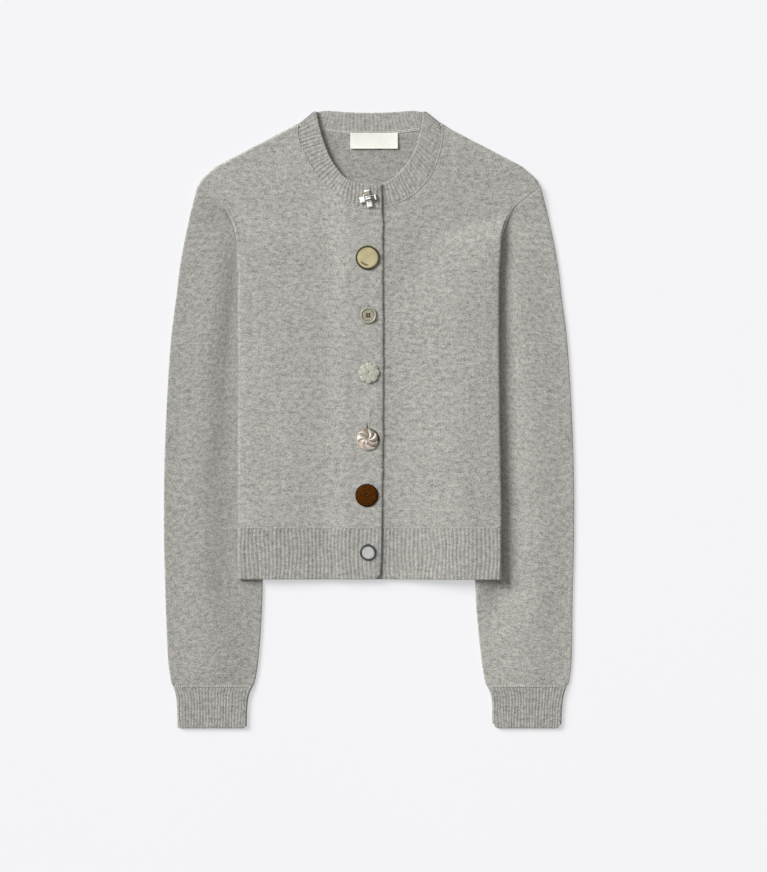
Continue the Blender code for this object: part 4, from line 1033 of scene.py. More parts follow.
@dataclass
class Sleeves(Cloth):
    """The two plain sleeves: flattened tubes from the slanted armhole end to the cuff seam.

    Their folds are half ellipses, as high as the sleeve and flatter in plan.
    """

    stations: int = 250
    top_columns: int = 56
    under_columns: int = 40
    turn_steps: int = 7
    end_points: int = 161
    sway: float = 2.2 * MM
    slant: float = 0.13
    wall: float = 1.25 * MM
    fold_share: float = 0.7
    seam_height: float = 5.5 * MM
    meeting: float = 0.07
    meeting_rows: tuple[float, float] = (212 * MM, 240 * MM)
    edge_shares: tuple[float, float, float, float] = (0.0, 0.03, 0.97, 1.0)
    inset: float = 0.02
    sway_rows: tuple[float, float] = (190 * MM, 285 * MM)
    waves: tuple[Relief, Relief] = (
        Relief(21, 0.16 * MM, 16 * MM, 90 * MM),
        Relief(22, 0.16 * MM, 16 * MM, 90 * MM),
    )

    def plan(self, side: Side, along: Array, across: Array) -> Array:
        """Plan grid: a Coons patch between both edges, the slanted end and the straight cuff.

        Args:
            side: Which sleeve.
            along: Shares of its length.
            across: Shares of its width, from the outer edge to the inner.

        Returns:
            The grid (stations, columns, 2).
        """
        outline = self.outline
        gap = self.knit.join
        shares = np.linspace(0, 1, self.end_points)
        line = smooth_curve((outline.sleeve_hidden_end + outline.armhole)[::-1], shares)
        line = line + gap * beside(line, 1)
        end = read_path(line, shares, across)
        first, last = line[0], line[-1]
        outer_rows = np.vstack([first, outline.sleeve_outer[1:]])
        inner_rows = np.vstack([last, outline.sleeve_inner[1:]])
        outer_rows[-1, 1] = inner_rows[-1, 1] = outline.cuff_seam + gap
        outer, inner = smooth_curve(outer_rows, along), smooth_curve(inner_rows, along)
        s, u = along[:, None, None], across[None, :, None]
        sides = (1 - u) * outer[:, None] + u * inner[:, None]
        plan = mirrored(sides + (1 - s) * (end - (1 - u) * first - u * last), side)
        if side is Side.LEFT:
            plan[..., 0] += self.sway * ease(-plan[..., 1], *self.sway_rows)
        return plan

    def build(self, side: Side, name: str) -> Piece:
        """Makes one sleeve as a ring of points round each station.

        The ring goes across the top, round the inner edge in a half circle, back under, and
        round the outer edge.

        Args:
            side: Which sleeve.
            name: Name of the piece.

        Returns:
            The sleeve.
        """
        knit, lay = self.knit, self.lay
        along = np.linspace(0, 1, self.stations)
        edges = self.plan(side, along, np.array(self.edge_shares))
        near_seam = (1 - smooth_step(along / self.meeting))[:, None]
        radius_start = (lay.sleeve_edge + near_seam * (self.seam_height - lay.sleeve_edge)) / 2
        radius_end = lay.sleeve(edges[:, 3:], along[:, None], np.ones((1, 1))) / 2
        across = np.linspace(self.inset, 1 - self.inset, self.top_columns)
        top_plan = self.plan(side, along, across)
        x, y = top_plan[..., 0], top_plan[..., 1]
        top = lay.sleeve(top_plan, along[:, None], across[None])
        seam_top = lay.front(x, y, False) + knit.wall - 0.1 * MM
        top += near_seam * ease(y, *self.meeting_rows) * (seam_top - top)
        relief = self.waves[0 if side is Side.RIGHT else 1]
        fade = np.sin(math.pi * across) ** 0.5 * smooth_step(along / 0.05)[:, None]
        top += (relief.at(x, y) + lay.rows_of_waves.at(x, y)) * fade
        under = self.plan(side, along, np.linspace(1 - self.inset, self.inset, self.under_columns))
        turn = np.linspace(math.pi / 2, -math.pi / 2, self.turn_steps)
        folds = (
            (edges[:, 3], unit(edges[:, 3] - edges[:, 2]), radius_end, turn),
            (edges[:, 0], unit(edges[:, 0] - edges[:, 1]), radius_start, -turn),
        )
        faces = []
        for inset in (0.0, self.wall):
            ring = [np.dstack([top_plan, top - inset])]
            for corner, out, radius, angle in folds:
                centre = corner[:, None] - self.fold_share * radius[..., None] * out[:, None]
                reach = self.fold_share * (radius - inset) * np.cos(angle)
                height = radius + (radius - inset) * np.sin(angle)
                ring.append(np.dstack([centre + reach[..., None] * out[:, None], height]))
            ring.insert(2, np.dstack([under, np.full(under.shape[:2], inset)]))
            faces.append(np.concatenate(ring, axis=1))
        outer, inner = faces
        closed = np.concatenate([outer, outer[:, :1]], axis=1)
        courses = closed[..., 1] + self.slant * np.abs(closed[..., 0])
        cloth = np.dstack([run_lengths(closed, axis=1), courses])
        return Wall(outer, inner, cloth, wrap=True).build(name)


@dataclass
class HemBands(Cloth):
    """The three rib bands round the bottom: back, left front and right front."""

    rows: int = 30
    arc_steps: int = 12
    corner_reach: float = 8.0 * MM
    corner_rise: float = 12.0 * MM
    edge_lean: float = 0.6 * MM
    lean_reach: float = 12 * MM
    # Painted shade on the right front band's side fold, which faces the light.
    fold_shade: float = 0.8
    closing: float = 0.06
    hidden_inside: float = 0.6 * MM
    drift: Relief = Relief(41, 0.75 * MM, 24 * MM, 80 * MM)
    press_reach: float = 1.1 * MM
    press_depth: float = 0.5 * MM

    def heights(self) -> tuple[Array, float, float, float]:
        """Shares up the band of its rows, closer at both ends; its lowest, top and middle y."""
        outline, share = self.outline, np.linspace(0, 1, self.rows)
        low, high = outline.hem_bottom + self.knit.bulge, outline.hem_seam - self.knit.join
        middle = (outline.hem_bottom + outline.hem_seam) / 2
        return (share - self.closing * np.sin(2 * math.pi * share))[:, None], low, high, middle

    def fold_x(self, side: Side) -> float:
        """Where the axis of a side's fold lies across."""
        out = self.lay.body_half - self.knit.rib_fold
        return side.value * (out + float(self.outline.drifted(side, self.outline.hem_seam)))

    def front(self, side: Side, buttons: Sequence[ButtonSeat], name: str) -> Piece:
        """The rib band under one front, from the placket round the side fold.

        Args:
            side: Which front.
            buttons: The buttons whose buttonholes it carries.
            name: Name of the piece.

        Returns:
            The band.
        """
        knit, lay, outline = self.knit, self.lay, self.outline
        on_top = side is Side.RIGHT
        edge = outline.right_hem_edge if on_top else outline.left_front_edge
        edge += side.value * knit.bulge
        fold_x = self.fold_x(side)
        length = abs(fold_x - edge)
        ribs = round(length / knit.rib_pitch)
        flat_x = np.linspace(edge, fold_x, ribs * knit.rib_cells + 1)
        angle = np.linspace(math.pi / 2, 0, self.arc_steps + 1)[1:]
        along = np.concatenate([np.abs(flat_x - edge), length + knit.rib_fold * (math.pi / 2 - angle)])
        flat = np.concatenate([np.ones(len(flat_x)), np.sin(angle) ** 2])
        share, low, high, middle = self.heights()
        rise = self.corner_rise * quarter_round(along / self.corner_reach) if on_top else 0 * along
        y = (low + rise) + share * (high - low - rise)
        x = np.broadcast_to(np.concatenate([flat_x, np.full(len(angle), fold_x)]), y.shape)
        if on_top:
            x = x + self.edge_lean * share * np.exp(-along / self.lean_reach)
        plan = np.dstack([x, y])
        slits = [seat.slit(plan) for seat in buttons]
        for slit in slits:
            plan = slit.spread(plan)
        x = plan[..., 0]
        depth = knit.ribs(along + self.drift.at(x, y), length / ribs)
        under = lay.front(x, middle, on_top) + lay.unevenness(x, y) * flat
        centre = lay.back(np.array(fold_x), middle) + knit.rib_fold
        arc = slice(-len(angle), None)
        top = under + knit.rib_wall - knit.rib_depth * depth
        outer_radius = knit.rib_fold - knit.rib_depth * depth[:, arc]
        faces = []
        for height, radius in ((top, outer_radius), (under, knit.rib_fold - knit.rib_wall)):
            z, across = height.copy(), x.copy()
            z[:, arc] = centre + radius * np.sin(angle)
            across[:, arc] = fold_x + side.value * radius * np.cos(angle)
            faces.append(np.dstack([across, y, z]))
        outer, inner = faces
        outer[:, -1, 2] += knit.fold_gap / 2
        # Painted shade in the rib valleys, and over the right front band's whole side fold.
        shaded = depth.copy()
        if on_top:
            outer[..., 2] -= self.press_depth * quarter_round(along / self.press_reach)
            shaded[:, -len(angle) - 1 :] = np.maximum(shaded[:, -len(angle) - 1 :], self.fold_shade)
        cloth = np.dstack([np.broadcast_to(along * side.value, y.shape), y])
        return Wall(outer, inner, cloth, painted_light=shaded, slits=slits).build(name)

    def back(self, name: str) -> Piece:
        """The rib band under the back, from one side fold to the other.

        Args:
            name: Name of the piece.

        Returns:
            The band.
        """
        knit, lay = self.knit, self.lay
        ends = self.fold_x(Side.RIGHT), self.fold_x(Side.LEFT)
        width = ends[1] - ends[0]
        ribs = round(width / knit.rib_pitch)
        flat_x = np.linspace(*ends, ribs * knit.rib_cells + 1)
        angle = np.linspace(0, math.pi / 2, self.arc_steps + 1)[:-1]
        arc = len(angle)
        turn = knit.rib_fold * (math.pi / 2 - angle)
        along = np.concatenate([-turn, flat_x - ends[0], width + turn[::-1]])
        share, low, high, middle = self.heights()
        y = np.broadcast_to(low + share * (high - low), (self.rows, len(along)))
        depth = knit.ribs(along + self.drift.at(along, y), width / ribs)
        deep = knit.rib_depth * depth
        under = lay.back(flat_x, middle)
        centres = lay.back(np.array(ends), middle) + knit.rib_fold
        inside = 0 * y + knit.rib_wall, 0 * y + self.hidden_inside
        faces = []
        for height, radius in ((deep, knit.rib_fold - deep), inside):
            radii = radius[:, :arc], radius[:, -arc:]
            z = [centres[0] - radii[0] * np.sin(angle), under + height[:, arc:-arc]]
            z.append(centres[1] - radii[1] * np.sin(angle[::-1]))
            x = [ends[0] - radii[0] * np.cos(angle), np.tile(flat_x, (self.rows, 1))]
            x.append(ends[1] + radii[1] * np.cos(angle[::-1]))
            faces.append(np.dstack([np.concatenate(x, axis=1), y, np.concatenate(z, axis=1)]))
        outer, inner = faces
        outer[:, [0, -1], 2] -= knit.fold_gap / 2
        # Painted shade in the rib valleys.
        return Wall(outer, inner, np.dstack([-along + 0 * y, y]), painted_light=depth).build(name)


@dataclass
class Cuffs(Cloth):
    """The two rib cuffs: flattened tubes with ribs all the way round."""

    rows: int = 26
    turn_ribs: int = 3
    half_height: float = 2.05 * MM
    wall: float = 1.75 * MM
    corners: Rows = ((0.8 * MM, 2.0 * MM), (4.2 * MM, 5.5 * MM))
    flare: float = 4.2
    widening: float = 0.7 * MM
    rib_share: float = 0.9
    sways: tuple[float, float] = (1.0 * MM, 2.2 * MM)
    drift: tuple[Relief, Relief] = (
        Relief(51, 0.45 * MM, 18 * MM, 50 * MM),
        Relief(52, 0.45 * MM, 18 * MM, 50 * MM),
    )

    def build(self, side: Side, name: str) -> Piece:
        """Makes one cuff.

        Its ring goes across the top, round in a half circle, back under and round again, and
        each point lies at the middle of the wall plus its own thickness outwards.  Its sides
        draw in from the seam as exp(-flare (1 - level)), and its lower corners are quarter
        ellipses.

        Args:
            side: Which cuff.
            name: Name of the piece.

        Returns:
            The cuff.
        """
        knit, outline = self.knit, self.outline
        radius = self.half_height
        widths = [start - end - 2 * radius for start, end in zip(outline.cuff_outer, outline.cuff_inner)]
        ribs = round(widths[0] / knit.cuff_rib_pitch)
        flat = np.arange(ribs * knit.rib_cells) / (ribs * knit.rib_cells)
        turn = np.arange(self.turn_ribs * knit.rib_cells) / (self.turn_ribs * knit.rib_cells) * math.pi
        share = np.concatenate([flat, 0 * turn + 1, 1 - flat, 0 * turn])
        out = np.concatenate([0 * flat, np.sin(turn), 0 * flat, -np.sin(turn)])
        up = np.concatenate([0 * flat + 1, np.cos(turn), 0 * flat - 1, -np.cos(turn)])
        which = 0 if side is Side.RIGHT else 1
        lift = 0 * share
        for corner, away in zip(self.corners[which], (share, 1 - share)):
            lift = lift + corner * quarter_round(away * widths[1] / corner)
        low, high = outline.cuff_bottom + knit.bulge, outline.cuff_seam - knit.join
        level = np.linspace(0, 1, self.rows)[:, None]
        y = (low + lift) + level * (high - low - lift)
        drawn = (np.exp(-self.flare * (1 - level)) - math.exp(-self.flare)) / (1 - math.exp(-self.flare))
        start = outline.cuff_outer[1] - self.widening / 2
        start = start + drawn * (outline.cuff_outer[0] + self.widening - start)
        end = outline.cuff_inner[1] + drawn * (outline.cuff_inner[0] - outline.cuff_inner[1])
        if side is Side.LEFT:
            sway = self.sways[0] + level * (self.sways[1] - self.sways[0])
            start, end = start + sway, end + sway
        travelled = np.arange(len(share) + 1) / knit.rib_cells
        wander = self.drift[which].at(share * widths[0] + 0.2 * up, y) / knit.cuff_rib_pitch
        depth = knit.ribs(travelled[:-1] + wander, 1.0)
        faces = []
        for face in (radius - knit.rib_depth * self.rib_share * depth, radius - self.wall + 0 * depth):
            x = start - radius + share * (end - start + 2 * radius) - out * face
            faces.append(np.dstack([side.value * x, y, radius + up * face]))
        closed_y = np.concatenate([y, y[:, :1]], axis=1)
        cloth = np.dstack(np.broadcast_arrays(travelled * knit.cuff_rib_pitch, closed_y))
        # Painted shade in the rib valleys.
        return Wall(*faces, cloth, wrap=True, painted_light=depth).build(name)


@dataclass
class Neckband(Cloth):
    """The rib neckband: right front, over the shoulder, back neck, over again, left front."""

    rows: int = 20
    fold_steps: int = 18
    drift: Relief = Relief(61, 0.5 * MM, 18 * MM, 60 * MM)
    # Painted shade on the band: back_ribs weakens it in the rib valleys behind, the crease band adds it
    # towards both shoulder folds, and shaded strengthens it on the wearer's left stretch.
    back_ribs: float = 0.28
    painted_crease_shade: tuple[float, float] = (50 * MM, 60 * MM)
    painted_crease_strength: float = 0.9
    corner: float = 0.2
    corner_depth: float = 0.8
    swell: float = 1.7 * MM
    swell_shares: Rows = ((0.3, 0.6), (0.86, 1.0))
    seam_step: float = 0.3 * MM
    shaded: float = 1.15
    inside_relief: tuple[float, float] = (0.3, 0.45)
    waves_end: tuple[float, float] = (260 * MM, 300 * MM)

    def edges(self, rows: Array) -> tuple[Array, Array]:
        """The wall's free edge and its seam edge at rows of the neckband's table."""
        across = unit(rows[..., 2:] - rows[..., :2])
        return rows[..., :2] + self.knit.bulge * across, rows[..., 2:] - self.knit.join * across

    def stretch(self, table: Rows, height: Callable[[Array, Array], Array]) -> tuple[Array, Array]:
        """One flat stretch of the band.

        Args:
            table: Its rows of the neckband's table.
            height: The height of its under face at x and y.

        Returns:
            Plan grid (rows across, stations, 2), and under height.
        """
        rows = np.array(table)
        length = run_lengths((rows[:, :2] + rows[:, 2:]) / 2)[-1]
        count = round(length / self.knit.rib_pitch) * self.knit.rib_cells + 1
        free, seam = self.edges(smooth_curve(rows, np.linspace(0, 1, count)))
        share = np.linspace(0, 1, self.rows)[:, None, None]
        plan = (1 - share) * free + share * seam
        return plan, height(plan[..., 0], plan[..., 1])

    def turned(self, row: Sequence[float], side: int) -> tuple[Array, Array, Array]:
        """The half turn of the band round one shoulder fold.

        Args:
            row: The fold's row of the neckband's table.
            side: 1 at the wearer's left and -1 at the right, where it runs downwards.

        Returns:
            Centre line of the fold across the band, its outward direction, and the angles.
        """
        out = self.outline.fold_out(row, side)
        angle = np.linspace(math.pi / 2, -math.pi / 2, self.fold_steps + 2)[1:-1]
        free, seam = self.edges(np.array(row))
        share = np.linspace(0, 1, self.rows)[:, None]
        line = (1 - share) * free + share * seam
        return line - out * self.knit.rib_fold, out, -side * angle

    def under_front(self, x: Array, y: Array, on_top: bool) -> Array:
        """Height of the band's under face on a front, with its waves fading at the shoulder."""
        waves = self.lay.unevenness(x, y) * (1 - ease(y, *self.waves_end))
        return self.lay.front(x, y, on_top) + waves

    def build(self, buttons: Sequence[ButtonSeat], name: str) -> Piece:
        """Makes the band in one piece: front, fold, back, fold, front.

        Args:
            buttons: The buttons whose buttonholes it carries.
            name: Name of the piece.

        Returns:
            The band.
        """
        knit, outline = self.knit, self.outline
        radius = knit.rib_fold
        first, last = outline.inset_ends(radius)
        right, right_under = self.stretch(
            outline.band_right[:-1] + first, lambda x, y: self.under_front(x, y, True)
        )
        back = self.stretch(first + outline.band_back[1:-1] + last, self.lay.back)
        left = self.stretch(
            (outline.band_left[:-1] + last)[::-1], lambda x, y: self.under_front(x, y, False)
        )
        slits = [seat.slit(right) for seat in buttons]
        for slit in slits:
            right = slit.spread(right)
        folds = self.turned(outline.band_back[0], -1), self.turned(outline.band_back[-1], 1)
        plans, unders = [right], [right_under]
        for (line, out, angle), (plan, under) in zip(folds, (back, left)):
            bend = line[:, None] + radius * np.cos(angle)[:, None] * out
            plans += [bend, plan]
            unders += [np.broadcast_to(radius * (1 + np.sin(angle)), bend.shape[:2]), under]
        starts = np.cumsum([0, *(plan.shape[1] for plan in plans)])
        spine = np.dstack([np.concatenate(plans, axis=1), np.concatenate(unders, axis=1)])
        plan = spine[..., :2]
        along = run_lengths(spine[self.rows // 2])
        wander = self.drift.at(np.broadcast_to(along, plan.shape[:2]), plan[..., 1])
        depth = knit.ribs(along + wander, knit.rib_pitch)
        level = np.linspace(0, 1, self.rows)[:, None]
        thickness = knit.rib_wall - knit.rib_depth * depth - self.seam_step * level**6
        narrow = 1 - self.corner_depth * quarter_round(level / self.corner)
        outer, inner = spine.copy(), spine.copy()
        for index, (start, end, under) in enumerate(zip(starts, starts[1:], unders)):
            part = slice(start, end)
            deep = knit.rib_depth * depth[:, part]
            if index in (0, 4):
                outer[:, part, 2] = under + thickness[:, part]
            elif index == 2:
                outer[:, part, 2] = under + self.inside_relief[0] * deep
                inner[:, part, 2] = under + thickness[:, part] + self.inside_relief[1] * deep
            else:
                line, out, angle = folds[index // 2]
                for face, size in ((outer, radius - deep), (inner, 0 * deep + radius - knit.rib_wall)):
                    face[:, part, :2] = line[:, None] + (size * narrow * np.cos(angle))[..., None] * out
                    face[:, part, 2] = radius + size * np.sin(angle)
        stretch = np.linspace(0, 1, starts[1])
        rising, falling = self.swell_shares
        swell = self.swell * ease(stretch, *rising) * (1 - ease(stretch, *falling))
        for face in (outer, inner):
            face[:, : starts[1], 2] += swell * (1 - level) ** 1.5
        # Painted shade: weaker in the rib valleys behind, added towards both shoulder folds, stronger on the
        # wearer's left stretch.
        behind = slice(starts[1], starts[4])
        painted_crease_shade = ease(np.abs(plan[:, behind, 0]), *self.painted_crease_shade)
        depth[:, behind] = np.maximum(self.back_ribs * depth[:, behind], self.painted_crease_strength * painted_crease_shade)
        depth[:, starts[4] :] = np.minimum(self.shaded * depth[:, starts[4] :], 1)
        cloth = np.dstack(np.broadcast_arrays(along, run_lengths(plan[:, :1])))
        return Wall(outer, inner, cloth, bulge=knit.bulge * 1.5, painted_light=depth, slits=slits).build(name)


@dataclass
class NeckLabel:
    """The plain woven label sewn inside the back neck, with nothing on it."""

    centre: tuple[float, float] = (5.7 * MM, 305.6 * MM)
    size: tuple[float, float] = (52.2 * MM, 17.5 * MM)
    level: float = 2.3 * MM
    thickness: float = 0.5 * MM
    points: tuple[int, int] = (24, 64)
    lift: float = 1.3 * MM
    corner_lift: float = 0.6
    ripple: float = 0.04 * MM
    # Band at the lower edge that carries a painted highlight.
    hem: tuple[float, float] = (0.86, 0.97)
    bulge: float = 0.15 * MM

    def build(self, name: str) -> Piece:
        """Makes the label: a thin sheet that bows up a little towards its free lower edge.

        Args:
            name: Name of the piece.

        Returns:
            The label.
        """
        half = np.array(self.size) / 2 - self.bulge
        v, u = np.meshgrid(*(np.linspace(-1, 1, count) for count in self.points), indexing="ij")
        lift = self.lift * ((1 - v) / 2) ** 3 * (0.8 + 0.2 * np.cos(2.2 * u + 0.6))
        lift = lift + self.corner_lift * self.lift * np.clip(u, 0, 1) ** 4
        z = self.level + lift + self.ripple * np.cos(7 * u + 2 * v)
        cloth = np.array(self.centre) + np.dstack([u, v]) * half
        inner = np.dstack([cloth, z])
        outer = inner + np.array([0, 0, self.thickness])
        # Painted highlight along the lower edge.
        return Wall(outer, inner, cloth, bulge=self.bulge, painted_light=ease(-v, *self.hem)).build(name)


@dataclass
class Stitching(Cloth):
    """The sewing: chain stitches and rolls along the seams, and overcast buttonholes."""

    pitch: float = 2.15 * MM
    yarn: float = 0.42 * MM
    stations: int = 8
    cuff_top: float = 4.2 * MM
    cuff_sway: float = 2.2 * MM
    cuff_inset: float = 1.8 * MM
    cuff_drop: float = 0.8 * MM
    roll_stations: int = 220
    hem_points: int = 200
    cuff_points: int = 120
    armhole_points: int = 160
    neck_points: int = 260
    back_neck_lift: float = 0.15 * MM
    roll: float = 0.8 * MM
    end_drop: float = 2.6 * MM
    end_reach: float = 4 * MM
    armhole_shares: tuple[float, float] = (0.52, 0.985)
    overcast_slant: float = 0.1 * MM
    overcast_pitch: float = 0.62 * MM
    overcast_reach: tuple[float, ...] = in_mm((-0.35, 0.05, 0.5, 1.0, 1.35))[0]
    overcast_rise: tuple[float, ...] = in_mm((-0.75, -0.05, 0.22, 0.08, -0.3))[0]
    overcast_yarn: tuple[float, ...] = in_mm((0.2, 0.27, 0.28, 0.26, 0.16))[0]

    def chain(self, name: str, paths: Sequence[Array], width: float, yarn: float) -> Piece:
        """Chain stitches along seams.

        Two strands run along each seam.  Their distance from it is half the width times
        0.3 + 0.7 |sin|, once for each stitch, so they meet at the stitches' ends, and they sink
        there by a share of the yarn.

        Args:
            name: Name of the piece.
            paths: The seams, as runs of points (n, 3).
            width: Width of a stitch.
            yarn: Radius of the yarn.

        Returns:
            The stitches.
        """
        strands = []
        for path in paths:
            stitches = max(round(run_lengths(path)[-1] / self.pitch), 2)
            line = along_path(path, stitches * self.stations + 1)
            wave = np.abs(np.sin(math.pi * stitches * np.linspace(0, 1, len(line))))
            across = np.pad(beside(line[:, :2], 1), ((0, 0), (0, 1)))
            line[:, 2] += yarn * (wave - 0.6)
            reach = across * (width / 2 * (0.3 + 0.7 * wave))[:, None]
            strands += [line - reach, line + reach]
        shares = np.linspace(0, 1, max(len(strand) for strand in strands))
        centre = [read_path(strand, np.linspace(0, 1, len(strand)), shares) for strand in strands]
        return strands_piece(name, np.array(centre), yarn, 5)

    def rolls(self, name: str, paths: Sequence[Array], sink: float) -> Piece:
        """The linked edges under the stitches: a roll of yarn that fills each seam.

        Args:
            name: Name of the piece.
            paths: The seams, as runs of points (n, 3).
            sink: How far the roll's top lies below the runs.

        Returns:
            The rolls.
        """
        centre = np.array([along_path(path, self.roll_stations) for path in paths])
        centre[..., 2] -= self.roll + sink
        return strands_piece(name, centre, self.roll, 10)

    def top_of(self, x: Array, y: Array, on_top: bool, wall: float) -> Array:
        """Height of the upper face of the right front (on top) or the left, this thick."""
        return self.lay.front(x, y, on_top) + wall + self.lay.unevenness(x, y)

    def hem_seams(self) -> list[Array]:
        """The seams between the two fronts and their hem bands."""
        outline, paths = self.outline, []
        edges = (Side.RIGHT, outline.right_hem_edge - 1 * MM), (Side.LEFT, outline.left_front_edge)
        for side, edge in edges:
            x = np.linspace(edge, side.value * (self.lay.body_half - self.knit.rib_fold), self.hem_points)
            y = np.full(self.hem_points, outline.hem_seam)
            height = self.top_of(x, y, side is Side.RIGHT, self.knit.rib_wall - 0.2 * MM)
            paths.append(np.column_stack([x, y, height]))
        return paths

    def cuff_seams(self) -> list[Array]:
        """The seams between the sleeves and the cuffs, across their upper faces."""
        outline, paths = self.outline, []
        for side in Side:
            sway = self.cuff_sway if side is Side.LEFT else 0
            start, end = outline.cuff_outer[0] - self.cuff_inset, outline.cuff_inner[0] + self.cuff_inset
            x = side.value * (np.linspace(start, end, self.cuff_points) + sway)
            z = self.cuff_top - self.cuff_drop * np.linspace(-1, 1, self.cuff_points) ** 8
            paths.append(np.column_stack([x, np.full(self.cuff_points, outline.cuff_seam), z]))
        return paths

    def armhole_seams(self) -> list[Array]:
        """The seams between the sleeves' heads and the fronts."""
        paths = []
        for side in Side:
            shares = np.linspace(*self.armhole_shares, self.armhole_points)
            line = mirrored(smooth_curve(self.outline.armhole, shares), side)
            paths.append(np.column_stack([line, self.top_of(*line.T, side is Side.RIGHT, self.knit.wall)]))
        return paths

    def neck_seams(self) -> list[Array]:
        """The seam between the neckband and the two fronts, sinking at its shoulder ends."""
        paths = []
        for table, on_top in ((self.outline.band_right, True), (self.outline.band_left, False)):
            line = smooth_curve(np.array(table)[:, 2:], np.linspace(0, 1, self.neck_points))
            left = run_lengths(line)[-1] - run_lengths(line)
            drop = self.end_drop * (1 - ease(left, 0, self.end_reach)) ** 2
            height = self.top_of(*line.T, on_top, self.knit.wall + 0.05 * MM) - drop
            paths.append(np.column_stack([line, height]))
        return paths

    def back_neck_seam(self) -> list[Array]:
        """The seam between the neckband and the back, on the side that shows in the neck."""
        rows = np.array(self.outline.band_back)[1:-1, 2:]
        line = smooth_curve(rows, np.linspace(0, 1, self.hem_points))
        return [np.column_stack([line, np.full(len(line), self.knit.wall + self.back_neck_lift)])]

    def overcast(self, name: str, seats: Sequence[ButtonSeat], wall: float) -> Piece:
        """Overcast stitches side by side along both edges of the buttonholes.

        Each stitch is an arc: up out of the slit, over the edge and down into the cloth.

        Args:
            name: Name of the piece.
            seats: The buttons whose holes are sewn.
            wall: Thickness of the cloth.

        Returns:
            The stitches.
        """
        paths = []
        for seat in seats:
            share = np.linspace(0.02, 0.98, round(seat.hole_length / self.overcast_pitch))
            open_by = seat.opening * np.sin(math.pi * share) ** 0.7
            y = seat.y + seat.hole_top - share * seat.hole_length
            for turn in (-1, 1):
                x = seat.x + turn * (open_by[:, None] + self.overcast_reach)
                line_y = y[:, None] + self.overcast_slant * turn * np.arange(5)
                z = self.top_of(np.full_like(x, seat.x), line_y, True, wall) + self.overcast_rise
                paths.append(np.stack([x, line_y, z], axis=-1))
        return strands_piece(name, np.concatenate(paths), np.array(self.overcast_yarn), 5)


# Buttons


@dataclass
class Button:
    """A turned button with its back at its level, and its shank down through the buttonhole.

    Its profile's rows hold radius, as a share of the button's, and height in millimetres.
    """

    seat: ButtonSeat
    level: float
    shank_foot: float
    spin: float = 0.0
    shank: float = 1.3 * MM
    around: int = 96
    steps: int = 64
    rows: Rows = ()

    @property
    def radius(self) -> float:
        """Radius of the button."""
        return self.seat.diameter / 2

    def angles(self) -> Array:
        """Angles round the button of its rings' points."""
        return np.linspace(0, 2 * math.pi, self.around, endpoint=False)

    def profile(self) -> Array:
        """The smooth profile, as points of radius and height, and its foot at the back."""
        table = np.array(self.rows) * np.array([self.radius, MM])
        return np.maximum(smooth_curve(table, np.linspace(0, 1, self.steps)), [0.0, -1.0])

    def upper(self, steps: int) -> Array:
        """Which points of the profile are among its first steps, as a column."""
        return (np.arange(self.steps) < steps)[:, None]

    def turned(self, profile: Array, swell: Array | float = 1.0) -> Array:
        """Carries a profile round: radius times cosine and sine of each angle.

        Args:
            profile: Radius and height (n, 2).
            swell: Factor on the radius, for each angle or each ring and angle.

        Returns:
            Rings of points (n, around, 3).
        """
        angle = self.angles()[None]
        radius = profile[:, :1] * swell * np.ones_like(angle)
        height = profile[:, 1:] * np.ones_like(angle)
        return np.dstack([radius * np.cos(angle), radius * np.sin(angle), height])

    def rings(self) -> Array:
        """The button's rings of points (rings, around, 3), top to bottom, about its own middle."""
        return self.turned(self.profile())

    def shank_rings(self) -> Array:
        """The shank, from the back of the button to its foot in the cloth beneath."""
        drop = self.shank_foot - self.level
        rows = [(self.shank * 1.5, 0.0), (self.shank, 0.04 * drop), (self.shank, 0.9 * drop)]
        return self.turned(np.array([*rows, (self.shank * 0.8, drop)]))

    def seated(self, local: Array, lift: float = 0.0) -> Array:
        """Points about the button's own middle, turned by its spin and set on its seat."""
        turn = np.array(Matrix.Rotation(self.spin, 3, "Z"))
        return local @ turn.T + np.array([self.seat.x, self.seat.y, self.level + lift])

    def build(self, name: str) -> Piece:
        """Makes the button from its rings, with a point at the top and the foot of its axis.

        Args:
            name: Name of the piece.

        Returns:
            The button, its map holding each point's plan place from its middle.
        """
        rings = np.concatenate([self.rings(), self.shank_rings()])
        count, around = rings.shape[:2]
        local = np.concatenate([rings.reshape(-1, 3), rings[[0, -1]].mean(axis=1)])
        row, column = grid_cells(count, around, True)
        ahead, last = np.arange(around), (count - 1) * around
        following, tips = np.roll(ahead, -1), np.full((2, around), len(local) - 2)
        top = np.stack([following, ahead, tips[0]], axis=1)
        foot = np.stack([last + ahead, last + following, tips[1] + 1], axis=1)
        quads, top, foot = outwards(local, row * around + column % around, top, foot)
        corners = np.concatenate([quads.ravel(), top.ravel(), foot.ravel()])
        sizes = np.concatenate([np.full(len(quads), 4), np.full(2 * around, 3)])
        return mesh_piece(name, self.seated(local), corners, sizes, local[corners, :2])


@dataclass
class DomeButton(Button):
    """A polished metal dome inside a raised thin rim: dome, groove, bead round the edge, back."""

    rows: Rows = (
        (0.02, 2.75), (0.3, 2.7), (0.55, 2.5), (0.74, 2.15), (0.83, 1.8), (0.87, 1.65), (0.9, 1.85),
        (0.945, 2.0), (0.985, 1.7), (1.0, 1.2), (0.96, 0.35), (0.86, 0.0), (0.2, 0.0),
    )


